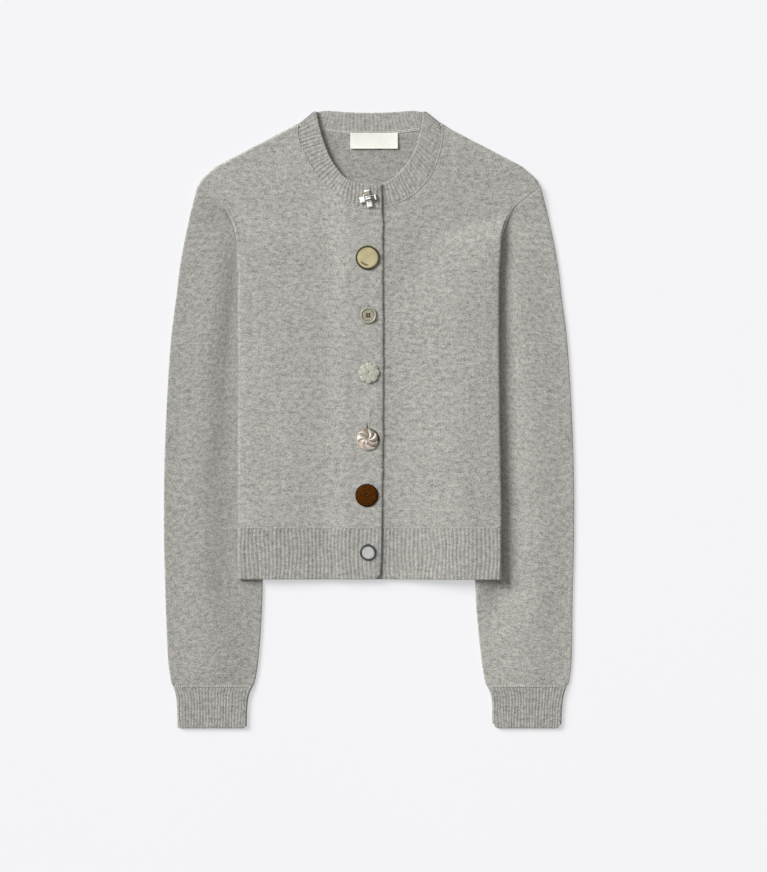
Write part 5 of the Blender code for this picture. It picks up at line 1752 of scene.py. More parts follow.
@dataclass
class HornButton(Button):
    """A small dished button with four holes sunk into its face."""

    around: int = 128
    steps: int = 110
    rows: Rows = (
        (0.015, 1.45), (0.2, 1.45), (0.4, 1.47), (0.6, 1.5), (0.72, 1.45), (0.77, 1.7), (0.84, 2.0),
        (0.92, 1.95), (0.975, 1.6), (1.0, 1.1), (0.95, 0.4), (0.7, 0.0), (0.2, 0.0),
    )
    hole: float = 0.85 * MM
    hole_edge: tuple[float, float] = (0.75, 1.1)
    spacing: float = 2.5 * MM
    face_level: float = 1.0 * MM
    depth: float = 1.1 * MM
    thread_height: float = 1.45 * MM
    thread_arch: float = 0.28 * MM
    thread_drop: float = 0.9 * MM
    thread_turn: float = 0.86
    thread_yarn: float = 0.13 * MM

    def rings(self) -> Array:
        """The turned profile, with four round pits: each sinks as a steep smooth step."""
        rings = super().rings()
        reach = self.spacing / 2
        away = np.hypot(np.abs(rings[..., 0]) - reach, np.abs(rings[..., 1]) - reach)
        sunk = 1 - ease(away, *(share * self.hole for share in self.hole_edge))
        rings[..., 2] -= np.where(rings[..., 2] > self.face_level, self.depth * sunk, 0)
        return rings

    def thread(self, name: str) -> Piece:
        """The sewing thread: two bars across the holes, each of four strands.

        Args:
            name: Name of the piece.

        Returns:
            The thread.
        """
        t = np.linspace(-1, 1, 13)
        reach = self.spacing / 2
        fallen = np.clip(np.abs(t) - self.thread_turn, 0, 1) / (1 - self.thread_turn)
        height = self.thread_height + self.thread_arch * (1 - t**8) - self.thread_drop * fallen
        sides = [y + offset for y in (-reach, reach) for offset in in_mm((-0.3, -0.1, 0.1, 0.3))[0]]
        paths = [np.stack([reach * t, side + 0 * t, height], axis=-1) for side in sides]
        return strands_piece(name, self.seated(np.array(paths)), self.thread_yarn)


@dataclass
class FlowerButton(Button):
    """A moulded button with eight soft petals and a dimple in the middle."""

    around: int = 160
    steps: int = 70
    rows: Rows = (
        (0.02, 1.9), (0.08, 1.95), (0.16, 2.25), (0.24, 2.35), (0.45, 2.3), (0.7, 2.1), (0.88, 1.85),
        (0.97, 1.5), (0.98, 1.0), (0.9, 0.3), (0.75, 0.0), (0.2, 0.0),
    )
    petals: int = 8
    face_steps: int = 42
    petal_depth: float = 0.15
    petal_height: float = 0.6 * MM
    petal_reach: tuple[float, float] = (0.35, 0.95)
    ridge: float = 0.07 * MM
    ridge_reach: tuple[float, float] = (0.3, 0.6)

    def rings(self) -> Array:
        """The turned profile swollen into petals.

        The petals are |cos| of half their number of turns; they widen the edge and raise the
        face, more towards the edge, and each carries two fine ridges.
        """
        profile, angle = self.profile(), self.angles()[None]
        petal = np.abs(np.cos(angle * self.petals / 2)) ** 0.4
        share = profile[:, :1] / self.radius
        outer = ease(share, *self.petal_reach)
        rings = self.turned(profile, 1 - self.petal_depth * (1 - petal) * outer)
        ridges = self.ridge * np.cos(angle * self.petals * 3) * ease(share, *self.ridge_reach)
        relief = self.petal_height * (petal - 0.8) * outer + ridges * petal
        rings[..., 2] += np.where(self.upper(self.face_steps), relief, 0)
        return rings


@dataclass
class PinwheelButton(Button):
    """A moulded glass button with sharp blades that lean round its middle."""

    around: int = 196
    steps: int = 66
    rows: Rows = (
        (0.015, 2.9), (0.12, 3.0), (0.4, 2.9), (0.7, 2.45), (0.9, 1.8), (0.98, 1.3), (1.0, 0.9),
        (0.94, 0.2), (0.8, 0.0), (0.2, 0.0),
    )
    blades: int = 7
    lean: float = 1.1
    height: float = 0.95 * MM
    face_steps: int = 44
    climb: float = 0.72
    blade_reach: Rows = ((0.02, 0.3), (0.86, 1.0))
    edge_depth: float = 0.02

    def rings(self) -> Array:
        """The turned profile with blades.

        Round each ring the height is a saw's tooth that climbs slowly and falls fast, with its
        phase turned by the lean as the radius shrinks.
        """
        profile = self.profile()
        share = profile[:, :1] / self.radius
        part = (self.angles()[None] / (2 * math.pi) * self.blades + self.lean * (1 - share)) % 1
        tooth = np.where(part < self.climb, part / self.climb, (1 - part) / (1 - self.climb))
        inner, outer = self.blade_reach
        size = self.height * ease(share, *inner) * (1 - ease(share, *outer))
        rings = self.turned(profile, 1 - self.edge_depth * tooth * ease(share, 0.8, 1.0))
        rings[..., 2] += np.where(self.upper(self.face_steps), size * (tooth - 0.5), 0)
        return rings


@dataclass
class LeatherButton(Button):
    """A low dome with fine rings and a small star in its middle."""

    around: int = 120
    steps: int = 110
    rows: Rows = (
        (0.02, 2.9), (0.07, 2.85), (0.12, 2.6), (0.2, 2.7), (0.35, 2.65), (0.55, 2.5), (0.75, 2.3),
        (0.88, 1.9), (0.96, 1.4), (1.0, 0.9), (0.94, 0.3), (0.8, 0.0), (0.2, 0.0),
    )
    grooves: tuple[float, ...] = (0.3, 0.42, 0.54, 0.66, 0.78)
    groove_width: float = 0.018
    groove_depth: float = 0.2 * MM
    groove_steps: int = 78
    star_place: float = 0.08
    star_width: float = 0.05
    star_height: float = 0.25 * MM
    star_steps: int = 20

    def rings(self) -> Array:
        """The turned profile, with shallow rings and a five-pointed swelling at the middle."""
        profile = self.profile()
        share = profile[:, :1] / self.radius
        groove = sum(np.exp(-(((share - place) / self.groove_width) ** 2)) for place in self.grooves)
        profile[:, 1:] -= np.where(self.upper(self.groove_steps), self.groove_depth * groove, 0)
        rings = self.turned(profile)
        near = np.exp(-(((share - self.star_place) / self.star_width) ** 2))
        star = self.star_height * np.cos(5 * self.angles()[None]) * near
        rings[..., 2] += np.where(self.upper(self.star_steps), star, 0)
        return rings


@dataclass
class CabochonButton(Button):
    """A flat round stone held by a dark metal rim with a small loop at its top."""

    steps: int = 90
    rows: Rows = (
        (0.02, 2.05), (0.3, 2.05), (0.55, 2.0), (0.72, 1.85), (0.765, 1.6), (0.79, 1.55), (0.83, 1.85),
        (0.89, 2.0), (0.95, 1.85), (1.0, 1.2), (0.97, 0.4), (0.84, 0.0), (0.2, 0.0),
    )
    loop_turn: float = 90.0
    loop_width: float = 9.0
    loop_size: float = 0.06

    def rings(self) -> Array:
        """The turned profile: a nearly flat stone, a groove, and a round rim with its loop."""
        rings = super().rings()
        away = (np.degrees(self.angles()[None]) - self.loop_turn) / self.loop_width
        share = np.hypot(rings[..., 0], rings[..., 1]) / self.radius
        rings[..., :2] *= (1 + self.loop_size * np.exp(-(away**2)) * ease(share, 0.8, 1.0))[..., None]
        return rings


@dataclass
class CrystalButton(Button):
    """Five cut stones in a cross: a square one, and an oblong one on each side of it.

    Each stone's row holds its place and its size in plan, as shares of the button's radius, and
    its height in millimetres.
    """

    steps: int = 30
    rows: Rows = ((0.02, 1.1), (0.4, 1.1), (0.66, 1.0), (0.72, 0.6), (0.66, 0.1), (0.5, 0.0), (0.2, 0.0))
    stones: Rows = (
        (0.0, 0.0, 0.66, 0.64, 2.8),
        (0.67, 0.0, 0.62, 0.66, 2.3),
        (-0.67, 0.0, 0.62, 0.66, 2.3),
        (0.0, 0.67, 0.66, 0.62, 2.3),
        (0.0, -0.67, 0.66, 0.62, 2.3),
    )
    cut: Rows = ((0.62, 1.0), (0.70, 0.95), (0.88, 0.78), (0.99, 0.5), (1.0, 0.36), (0.7, 0.16))
    bedding: float = 0.35 * MM
    claw: tuple[float, ...] = in_mm((0.2, 0.28, 0.28, 0.28, 0.34, 0.36, 0.2))[0]

    def stone_rings(self, wide: float, deep: float, high: float) -> Array:
        """One cut stone: eight-sided rings, stepping in from the girdle to a flat table.

        Args:
            wide: Full width at the girdle.
            deep: Full depth at the girdle.
            high: Height of the table.

        Returns:
            Rings of points (rings, 8, 3), table first.
        """
        rings = []
        for size, height in self.cut:
            x, y = np.array([wide, deep]) / 2 * size
            cut = 0.18 * min(x, y)
            ring = [(x, cut - y), (x, y - cut), (x - cut, y), (cut - x, y)]
            ring += [(-a, -b) for a, b in ring]
            rings.append([(*point, high * height) for point in ring])
        return np.array(rings)

    def claws(self, name: str) -> Piece:
        """The claws: a small round post at each inner corner and each outer end of the stones.

        Args:
            name: Name of the piece.

        Returns:
            The claws.
        """
        spots = [(a * 0.31, b * 0.31) for a in (-1, 1) for b in (-1, 1)]
        for a in (-1, 1):
            for b in (-0.3, 0.3):
                spots += [(a * 0.93, b), (b, a * 0.93)]
        t = np.linspace(0, 1, len(self.claw))[:, None]
        foot = np.array(spots)[:, None] * self.radius * (1 - 0.06 * t**2)
        height = np.broadcast_to(0.4 * MM + 1.6 * MM * t, (*foot.shape[:2], 1))
        centre = self.seated(np.concatenate([foot, height], axis=-1))
        return strands_piece(name, centre, np.array(self.claw), 8)

    def cut_stones(self, name: str) -> Piece:
        """The five stones as one flat-faced object.

        Args:
            name: Name of the piece.

        Returns:
            The stones.
        """
        tubes = []
        for x, y, wide, deep, high in self.stones:
            rings = self.stone_rings(wide * self.radius, deep * self.radius, high * MM)
            rings[..., :2] += np.array([x, y]) * self.radius
            tubes.append(rings)
        local = np.array(tubes)
        piece = capped_rings(name, self.seated(local, self.bedding), local.reshape(-1, 3)[:, :2])
        piece.data.shade_flat()
        return piece


# Finishes


@dataclass(frozen=True)
class Value:
    """An output of a material's nodes, with the arithmetic that further nodes do on it."""

    shade: "Shade"
    socket: bpy.types.NodeSocket

    def math(self, kind: str, *others: "Value | float") -> "Value":
        """One Math node, with this value first."""
        return self.shade.node("Math", dict(enumerate((self, *others))), operation=kind)

    def __add__(self, other: "Value | float") -> "Value":
        """The sum."""
        return self.math("ADD", other)

    def __sub__(self, other: "Value | float") -> "Value":
        """The difference."""
        return self.math("SUBTRACT", other)

    def __mul__(self, other: "Value | float") -> "Value":
        """The product."""
        return self.math("MULTIPLY", other)

    def __truediv__(self, other: "Value | float") -> "Value":
        """The quotient."""
        return self.math("DIVIDE", other)

    def __abs__(self) -> "Value":
        """The value without its sign."""
        return self.math("ABSOLUTE")

    def scaled(self, factor: float, offset: float) -> "Value":
        """The value times a factor plus an offset, in one node."""
        return self.math("MULTIPLY_ADD", factor, offset)

    def step(self, start: float, end: float) -> "Value":
        """0 at start and before, 1 at end and beyond, straight between."""
        return self.shade.node("MapRange", {0: self, 1: start, 2: end})


Tone = Value | Colour


class Shade:
    """The nodes of one procedural material."""

    def __init__(self, name: str) -> None:
        """Starts the material, of this name."""
        self.material = bpy.data.materials.new(name)
        self.material.use_nodes = True
        self.tree = self.material.node_tree

    def set_inputs(self, node: bpy.types.Node, inputs: dict[str | int, object]) -> None:
        """Joins values to a node's inputs, or sets constants there; a colour gets its alpha.

        Args:
            node: The node.
            inputs: Values or constants, by the input's name or number.
        """
        for key, value in inputs.items():
            socket = node.inputs[key]
            if isinstance(value, Value):
                self.tree.links.new(value.socket, socket)
            elif socket.type == "RGBA":
                socket.default_value = (*value, 1.0)
            else:
                socket.default_value = value

    def node(
        self, kind: str, inputs: dict[str | int, object], output: str | int = 0, **settings: object
    ) -> Value:
        """Adds a node.

        Args:
            kind: Its type, without the prefix ShaderNode.
            inputs: Values or constants for its inputs, by name or number.
            output: Which of its outputs is wanted.
            settings: Its own settings.

        Returns:
            The output.
        """
        made = self.tree.nodes.new("ShaderNode" + kind)
        for key, value in settings.items():
            setattr(made, key, value)
        self.set_inputs(made, inputs)
        return Value(self, made.outputs[output])

    def place(self, stretch: Sequence[float] = (1, 1, 1), on_cloth: bool = True) -> Value:
        """Place on the cloth, or in the object's space, in millimetres.

        Args:
            stretch: Length of one unit of pattern along each axis, in millimetres.
            on_cloth: Whether to follow the piece's own map.

        Returns:
            The place's vector.
        """
        if on_cloth:
            source = self.node("UVMap", {}, "UV", uv_map=CLOTH_MAP)
        else:
            source = self.node("TexCoord", {}, "Object")
        scale = tuple(1 / (MM * length) for length in stretch)
        return self.node("Mapping", {"Vector": source, "Scale": scale}, "Vector")

    def vector(self, kind: str, *inputs: Value | tuple[float, float, float], number: bool = True) -> Value:
        """One VectorMath node, and its number or its vector."""
        return self.node("VectorMath", dict(enumerate(inputs)), int(number), operation=kind)

    def reach(self) -> Value:
        """Distance from the middle of the piece's own map, in millimetres."""
        return self.vector("LENGTH", self.place())

    def towards(self, x: float, y: float) -> Value:
        """Place along a direction of the piece's own map, in millimetres."""
        return self.vector("DOT_PRODUCT", self.place(), (x, y, 0))

    def axes(self, stretch: Sequence[float] = (1, 1, 1)) -> tuple[Value, Value]:
        """Place across and along the cloth, apart, in stretches given in millimetres."""
        node = self.node("SeparateXYZ", {0: self.place(stretch)}).socket.node
        return Value(self, node.outputs[0]), Value(self, node.outputs[1])

    def painted_light(self) -> Value:
        """How much painted light the piece's points carry: painted shade on knitting, from rib depth and
        folds, and a painted highlight on the label.
        """
        return self.node("Attribute", {}, "Fac", attribute_name=PAINTED_LIGHT)

    def noise(
        self, x: float, y: float, detail: float = 2, roughness: float = 0.5, on_cloth: bool = True
    ) -> Value:
        """Soft noise, around 0.

        Args:
            x: Size of its grains across, in millimetres.
            y: Their size along; off the cloth they are as large in height.
            detail: How many finer layers it has.
            roughness: How strong they are.
            on_cloth: Whether to follow the piece's own map.

        Returns:
            The value, about -0.5 to 0.5.
        """
        place = self.place((x, y, 1 if on_cloth else y), on_cloth)
        inputs = {"Vector": place, "Scale": 1.0, "Detail": detail, "Roughness": roughness}
        return self.node("TexNoise", inputs, "Fac", noise_dimensions="2D" if on_cloth else "3D") - 0.5

    def mix(self, share: Value | float, first: Tone, second: Tone) -> Value:
        """A mix of two colours, by the share of the second."""
        return self.node("Mix", {0: share, 6: first, 7: second}, 2, data_type="RGBA", clamp_factor=True)

    def ramp(self, share: Value, stops: Rows) -> Value:
        """Colours along a share.

        Args:
            share: The share.
            stops: Rows of place and colour, from 0 to 1.

        Returns:
            The colour.
        """
        colour = self.node("ValToRGB", {0: share}, "Color")
        elements = colour.socket.node.color_ramp.elements
        for index, (place, *tone) in enumerate(stops):
            end = {0: 0, len(stops) - 1: -1}.get(index)
            element = elements.new(place) if end is None else elements[end]
            element.position, element.color = place, (*tone, 1.0)
        return colour

    def bump(self, height: Value, distance: float, strength: float, under: Value | None = None) -> Value:
        """Fine relief.

        Args:
            height: Its height, 0 to 1.
            distance: What 1 stands for, in metres.
            strength: How strongly it shows.
            under: Relief beneath it.

        Returns:
            The normal.
        """
        inputs = {"Height": height, "Distance": distance, "Strength": strength}
        if under is not None:
            inputs["Normal"] = under
        return self.node("Bump", inputs, "Normal")


def tint(colour: Colour, factor: float) -> Colour:
    """A colour made lighter or darker."""
    return tuple(channel * factor for channel in colour)


@dataclass(frozen=True)
class Finish:
    """The look of a piece: a name, and the inputs of its shader."""

    name: str

    def inputs(self, shade: Shade) -> dict[str | int, object]:
        """The look, worked out in the material's nodes.

        Args:
            shade: The material.

        Returns:
            Values and constants for the shader's inputs, by name.
        """
        raise NotImplementedError

    def material(self) -> Material:
        """Makes the material."""
        shade = Shade(self.name)
        shade.set_inputs(shade.tree.nodes["Principled BSDF"], self.inputs(shade))
        return shade.material


@dataclass(frozen=True)
class KnitFinish(Finish):
    """Grey melange wool, plain or rib knit.

    Undyed and dark fibres are carded together, so the yarn is flecked; along a course the
    flecks run into short dashes, and now and then into a longer darker streak.  A row of
    flecks holds their strength, their size across and along, their layers and those' strength.
    """

    colour: Colour = (0.372, 0.362, 0.334)
    ribbed: bool = False
    flecks: Rows = (
        (1.2, 1.5, 1.35, 2, 0.6),
        (1.5, 6.4, 4.2, 4, 0.85),
        (0.25, 7.0, 2.2, 2, 0.5),
        (0.22, 20.0, 4.5, 2, 0.5),
        (0.08, 70.0, 40.0, 2, 0.5),
    )
    warmth: float = 0.05
    warm: Colour = (0.46, 0.33, 0.20)
    cool: Colour = (0.27, 0.34, 0.46)
    # How strong the painted shade gets.
    valley_shade: float = 0.34
    wale: float = 1.9
    course: float = 1.45

    def stitches(self, shade: Shade) -> Value:
        """Height of the plain stitches: sin of the place across a wale, times a slanted wave.

        Args:
            shade: The material.

        Returns:
            The height, 0 to 1.
        """
        x, y = shade.axes((self.wale, self.course, 1))
        across = x.math("PINGPONG", 0.5) * 2.0
        leg = abs(((y + across * 0.6) * math.pi).math("SINE"))
        return (across * math.pi).math("SINE") * (leg * 0.5 + 0.5)

    def inputs(self, shade: Shade) -> dict[str | int, object]:
        """Flecked colour, with painted shade where the points carry it, over stitches and a fine nap.

        Args:
            shade: The material.

        Returns:
            Values and constants for the shader's inputs, by name.
        """
        tone: Value | float = 0.5
        for strength, *grain in self.flecks:
            tone = shade.noise(*grain) * strength + tone
        stops = ((0.0, 0.42), (0.5, 1.0), (1.0, 1.5))
        grey = shade.ramp(tone, tuple((place, *tint(self.colour, factor)) for place, factor in stops))
        hue = shade.mix(shade.noise(2.3, 2.0).scaled(3.0, 0.5), self.warm, self.cool)
        colour = shade.mix(self.warmth, grey, hue)
        # Painted shade: the colour goes towards a quarter of its tone by the points' painted light.
        share = shade.painted_light().math("POWER", 1.4) * self.valley_shade
        nap = shade.noise(0.9, 0.7, 3, 0.7)
        if self.ribbed:
            normal = shade.bump(nap, 0.5 * MM, 0.5)
        else:
            normal = shade.bump(nap, 0.35 * MM, 0.4, shade.bump(self.stitches(shade), 0.22 * MM, 0.5))
        return {
            "Base Color": shade.mix(share, colour, tint(self.colour, 0.25)),
            "Normal": normal,
            "Roughness": 0.95,
            "Specular IOR Level": 0.15,
            "Sheen Weight": 0.14,
            "Sheen Roughness": 0.45,
            "Sheen Tint": (0.9, 0.9, 0.88),
            "Subsurface Weight": 0.3,
            "Subsurface Radius": (1.0, 1.0, 1.0),
            "Subsurface Scale": 1.6 * MM,
        }


@dataclass(frozen=True)
class FuzzFinish(Finish):
    """Loose fibres of the same wool, or sewing thread."""

    colour: Colour = (0.50, 0.49, 0.46)

    def inputs(self, shade: Shade) -> dict[str | int, object]:
        """Colour that varies softly from place to place.

        Args:
            shade: The material.

        Returns:
            Values and constants for the shader's inputs, by name.
        """
        share = shade.noise(6, 6, on_cloth=False) * 2.0 + 0.5
        colour = shade.mix(share, tint(self.colour, 0.55), tint(self.colour, 1.25))
        return {"Base Color": colour, "Roughness": 0.8, "Specular IOR Level": 0.2}


@dataclass(frozen=True)
class WovenFinish(Finish):
    """Close-woven satin ribbon for the label."""

    colour: Colour = (0.80, 0.80, 0.735)

    def inputs(self, shade: Shade) -> dict[str | int, object]:
        """Threads that cross, soft clouds, and a painted highlight along the lower edge.

        Args:
            shade: The material.

        Returns:
            Values and constants for the shader's inputs, by name.
        """
        warp, weft = ((place * math.pi).math("SINE") for place in shade.axes((0.32, 0.26, 1)))
        weave = warp * weft
        share = shade.noise(9, 5) * 0.9 + weave * 0.12 + 0.5
        colour = shade.mix(share, tint(self.colour, 0.93), tint(self.colour, 1.04))
        return {
            # Painted highlight towards the lower edge.
            "Base Color": shade.mix(shade.painted_light() * 0.8, colour, tint(self.colour, 1.2)),
            "Normal": shade.bump(weave, 0.05 * MM, 0.4),
            "Roughness": 0.55,
            "Sheen Weight": 0.15,
            "Specular IOR Level": 0.4,
        }


@dataclass(frozen=True)
class MetalFinish(Finish):
    """A metal button: a rim of one tone round a face of another, tarnished in patches.

    The face may carry a painted highlight towards the lower right and painted shade towards the upper left,
    and one painted dark reflection, a short arc about the middle.
    """

    rim: Colour
    # Colour of the tarnished patches, and of the painted dark reflection.
    tarnish_and_dark_reflection: Colour
    face: float | None = None
    face_colour: Colour = (0.5, 0.5, 0.5)
    face_shade: Colour = (0.4, 0.4, 0.4)
    # Painted highlight: its colour and the way towards which it lies.
    glow: Colour = (0.5, 0.5, 0.5)
    glow_way: tuple[float, float] = (0.64, -0.77)
    shift: float = 0.0
    # Painted dark reflection: radius of its arc, in millimetres, and the angle of its middle.
    dark_reflection: float | None = None
    dark_reflection_turn: float = 243.0
    metallic: float = 0.9
    roughness: float = 0.3

    def face_tone(self, shade: Shade, radius: float) -> Value:
        """The face's colour, with its painted highlight, painted shade and painted dark reflection.

        Args:
            shade: The material.
            radius: Radius of the face, in millimetres.

        Returns:
            The colour.
        """
        cloud = shade.noise(6.5, 5.0, 3, 0.6).scaled(1.5, 0.5)
        face = shade.mix(cloud, self.face_colour, self.face_shade)
        # Painted highlight towards the lower right, then painted shade towards the upper left.
        lower = shade.towards(*self.glow_way)
        face = shade.mix(lower.step(0.0, 0.9 * radius) * 0.85, face, self.glow)
        face = shade.mix(lower.step(-0.6 * radius, -0.95 * radius) * 0.6, face, tint(self.rim, 2))
        # Painted dark reflection: a short arc about the middle.
        if self.dark_reflection is not None:
            reach, way = shade.reach(), math.radians(self.dark_reflection_turn)
            arc = abs(reach - self.dark_reflection).step(1.35, 0.45)
            part = (shade.towards(math.cos(way), math.sin(way)) / reach).step(0.79, 0.93)
            face = shade.mix(arc * part * 0.85, face, self.tarnish_and_dark_reflection)
        return face

    def inputs(self, shade: Shade) -> dict[str | int, object]:
        """Tarnished patches, the face inside the rim, and fine scratches.

        Args:
            shade: The material.

        Returns:
            Values and constants for the shader's inputs, by name.
        """
        patch = shade.noise(4, 4, 3, 0.6).scaled(1.6, 0.4)
        colour = shade.mix(patch, self.rim, self.tarnish_and_dark_reflection)
        if self.face is not None:
            # The face's middle moves towards the lower right, so the dark rim shows wider at the upper left:
            # painted shade.
            moved = shade.vector("ADD", shade.place(), (-self.shift, self.shift, 0), number=False)
            inside = shade.vector("LENGTH", moved).step(self.face, self.face - 0.35)
            colour = shade.mix(inside, colour, self.face_tone(shade, self.face))
        return {
            "Base Color": colour,
            "Roughness": shade.noise(1.2, 1.2, 3, 0.6).scaled(0.2, self.roughness),
            "Normal": shade.bump(shade.noise(0.5, 0.5, 2, 0.6), 0.02 * MM, 0.3),
            "Metallic": self.metallic,
        }


@dataclass(frozen=True)
class StoneFinish(Finish):
    """Clear step-cut stones, foiled behind, with painted reflections bright below and to the left and dark
    above.

    Each stone's steps are squares about its own middle; the stones lie on a square lattice.
    The upper stone's painted reflection is beige under a white edge, and the right one's brown with a white
    slash; the middle one is crossed by two dark bars of painted reflection.
    """

    pitch: float = 6.57
    # Colours of the painted reflections, and of the painted shadow.
    white: Colour = (0.97, 0.97, 0.95)
    beige: Colour = (0.40, 0.35, 0.27)
    brown: Colour = (0.115, 0.09, 0.065)
    shadow: Colour = (0.06, 0.05, 0.04)

    def inputs(self, shade: Shade) -> dict[str | int, object]:
        """The painted reflections, stone by stone, and painted shadow on the edges between the stones.

        Args:
            shade: The material.

        Returns:
            Values and constants for the shader's inputs, by name.
        """
        x, y = shade.axes((self.pitch, self.pitch, 1))
        u, v = ((place + 8.5).math("FRACT") - 0.5 for place in (x, y))
        # Painted reflections, stone by stone.
        top = shade.mix(v.step(0.22, 0.28), self.beige, self.white)
        slash = abs(u + v.scaled(0.08, -0.14))
        side = shade.mix(slash.step(0.16, 0.10), self.brown, self.white)
        bars = abs(v + 0.22).step(0.14, 0.09).math("MAXIMUM", abs(v - 0.27).step(0.10, 0.05))
        middle = abs(x).math("MAXIMUM", abs(y)).step(0.52, 0.49)
        low = v.step(0.02, 0.12) * y.step(-0.49, -0.52)
        face = shade.mix(y.step(0.49, 0.52), self.white, top)
        face = shade.mix(x.step(0.49, 0.52), face, side)
        face = shade.mix(bars * middle, face, tint(self.shadow, 1.2))
        face = shade.mix(low * 0.5, face, tint(self.beige, 1.2))
        # Painted shadow on the edges between the stones.
        edge = abs(u).math("MAXIMUM", abs(v)).step(0.45, 0.49)
        return {
            "Base Color": shade.mix(edge * 0.75, face, self.shadow),
            "Roughness": 0.15,
            "Metallic": 0.05,
            "IOR": 1.6,
            "Coat Weight": 0.5,
            "Coat Roughness": 0.08,
        }


@dataclass(frozen=True)
class HornFinish(Finish):
    """Polished horn: a mottled face inside a paler rim, with a dark ring between."""

    face: Colour = (0.36, 0.325, 0.235)
    rim: Colour = (0.42, 0.40, 0.32)
    # Colour of the ring, and of the painted shade in the holes and at the edge.
    dark: Colour = (0.045, 0.03, 0.015)
    rim_from: float = 6.7
    edge: tuple[float, float] = (8.5, 9.0)
    hole: float = 1.1
    spacing: float = 2.5

    def inputs(self, shade: Shade) -> dict[str | int, object]:
        """Face, rim, the ring between them, and painted shade in the four holes and at the edge.

        Args:
            shade: The material.

        Returns:
            Values and constants for the shader's inputs, by name.
        """
        share = shade.noise(2.2, 3.4, 3, 0.6).scaled(2.0, 0.4)
        face = shade.mix(share, tint(self.face, 1.05), tint(self.face, 0.6))
        rim = shade.mix(share, tint(self.rim, 1.05), tint(self.rim, 0.8))
        reach = shade.reach()
        colour = shade.mix(reach.step(self.rim_from, self.rim_from + 0.6), face, rim)
        colour = shade.mix(abs(reach - self.rim_from).step(0.55, 0.1) * 0.85, colour, self.dark)
        # Painted shade in the four holes.
        folded = shade.vector("ABSOLUTE", shade.place(), number=False)
        away = shade.vector("DISTANCE", folded, (self.spacing / 2, self.spacing / 2, 0))
        colour = shade.mix(away.step(self.hole * 1.25, self.hole * 0.8), colour, tint(self.dark, 0.8))
        # Painted shade at the edge.
        colour = shade.mix(reach.step(*self.edge) * 0.7, colour, tint(self.dark, 1.2))
        return {"Base Color": colour, "Roughness": 0.4, "Coat Weight": 0.15, "Coat Roughness": 0.25}


@dataclass(frozen=True)
class PearlFinish(Finish):
    """Mother-of-pearl: pale bands of grey, cream and green under a soft polish."""

    pale: Colour = (0.52, 0.50, 0.42)
    deep: Colour = (0.27, 0.265, 0.215)
    # Colours of the painted shade in the dimple and at the edge.
    middle: Colour = (0.24, 0.23, 0.19)
    edge: Colour = (0.16, 0.155, 0.12)
    radius: float = 11.8

    def inputs(self, shade: Shade) -> dict[str | int, object]:
        """Bands, with painted shade in the dimple and at the edge.

        Args:
            shade: The material.

        Returns:
            Values and constants for the shader's inputs, by name.
        """
        band = shade.noise(2.6, 4.5, 3, 0.65).scaled(2.6, 0.36)
        reach = shade.reach()
        # Painted shade in the dimple.
        colour = shade.mix(reach.step(1.7, 1.0) * 0.55, shade.mix(band, self.pale, self.deep), self.middle)
        # Painted shade at the edge.
        rim = reach.step(self.radius * 0.955, self.radius * 0.985)
        return {
            "Base Color": shade.mix(rim * 0.5, colour, self.edge),
            "Normal": shade.bump(band, 0.15 * MM, 0.5),
            "Roughness": 0.5,
            "Coat Weight": 0.12,
            "Coat Roughness": 0.25,
        }


@dataclass(frozen=True)
class RoseFinish(Finish):
    """Mirrored rose glass: across each blade a painted reflection runs from smoke through copper and rose to
    a pale edge.

    The share across a blade is the fraction of blades (a / 2 pi) + lean (1 - r / radius).
    """

    blades: float = 7.0
    lean: float = 1.1
    radius: float = 12.4
    # Painted reflection across a blade: place, then colour.
    tones: Rows = (
        (0.00, 0.15, 0.11, 0.08),
        (0.14, 0.34, 0.25, 0.19),
        (0.38, 0.52, 0.41, 0.35),
        (0.62, 0.74, 0.62, 0.55),
        (0.80, 0.97, 0.92, 0.87),
        (0.92, 0.62, 0.49, 0.40),
        (1.00, 1.00, 1.00, 1.00),
    )
    smoke: Colour = (0.20, 0.175, 0.13)
    # Colours of the painted shade at the upper right, the painted olive reflection and the painted warm
    # highlight.
    black: Colour = (0.03, 0.022, 0.016)
    olive: Colour = (0.20, 0.185, 0.135)
    cream: Colour = (0.88, 0.74, 0.60)

    def inputs(self, shade: Shade) -> dict[str | int, object]:
        """The blades' painted reflections, smoky in patches, with painted shade in an arc at the upper right,
        a painted olive reflection above and a painted warm highlight to the lower left.

        Args:
            shade: The material.

        Returns:
            Values and constants for the shader's inputs, by name.
        """
        x, y = shade.axes()
        reach = shade.reach()
        turn = y.math("ARCTAN2", x) / (2 * math.pi)
        phase = turn * self.blades + reach.scaled(-self.lean / self.radius, self.lean)
        across = (phase + shade.noise(5.0, 5.0).scaled(0.7, 7.0)).math("FRACT")
        cloud = shade.noise(7.0, 6.0).scaled(2.6, 0.35)
        # Painted reflection across each blade, smoky in patches.
        colour = shade.mix(cloud, shade.ramp(across, self.tones), self.smoke)
        # Painted shade in an arc at the upper right.
        upper = shade.towards(0.85, 0.53).step(4.0, 8.5)
        colour = shade.mix(reach.step(10.2, 11.0) * upper, colour, self.black)
        # Painted olive reflection above.
        colour = shade.mix(shade.towards(-0.1, 1).step(3.0, 9.0) * 0.55, colour, self.olive)
        # Painted warm highlight to the lower left.
        colour = shade.mix(shade.towards(-0.7, -0.7).step(1.0, 8.0) * 0.3, colour, self.cream)
        return {
            "Base Color": colour,
            "Roughness": 0.28,
            "Metallic": 0.15,
            "Coat Weight": 0.25,
            "Coat Roughness": 0.15,
        }


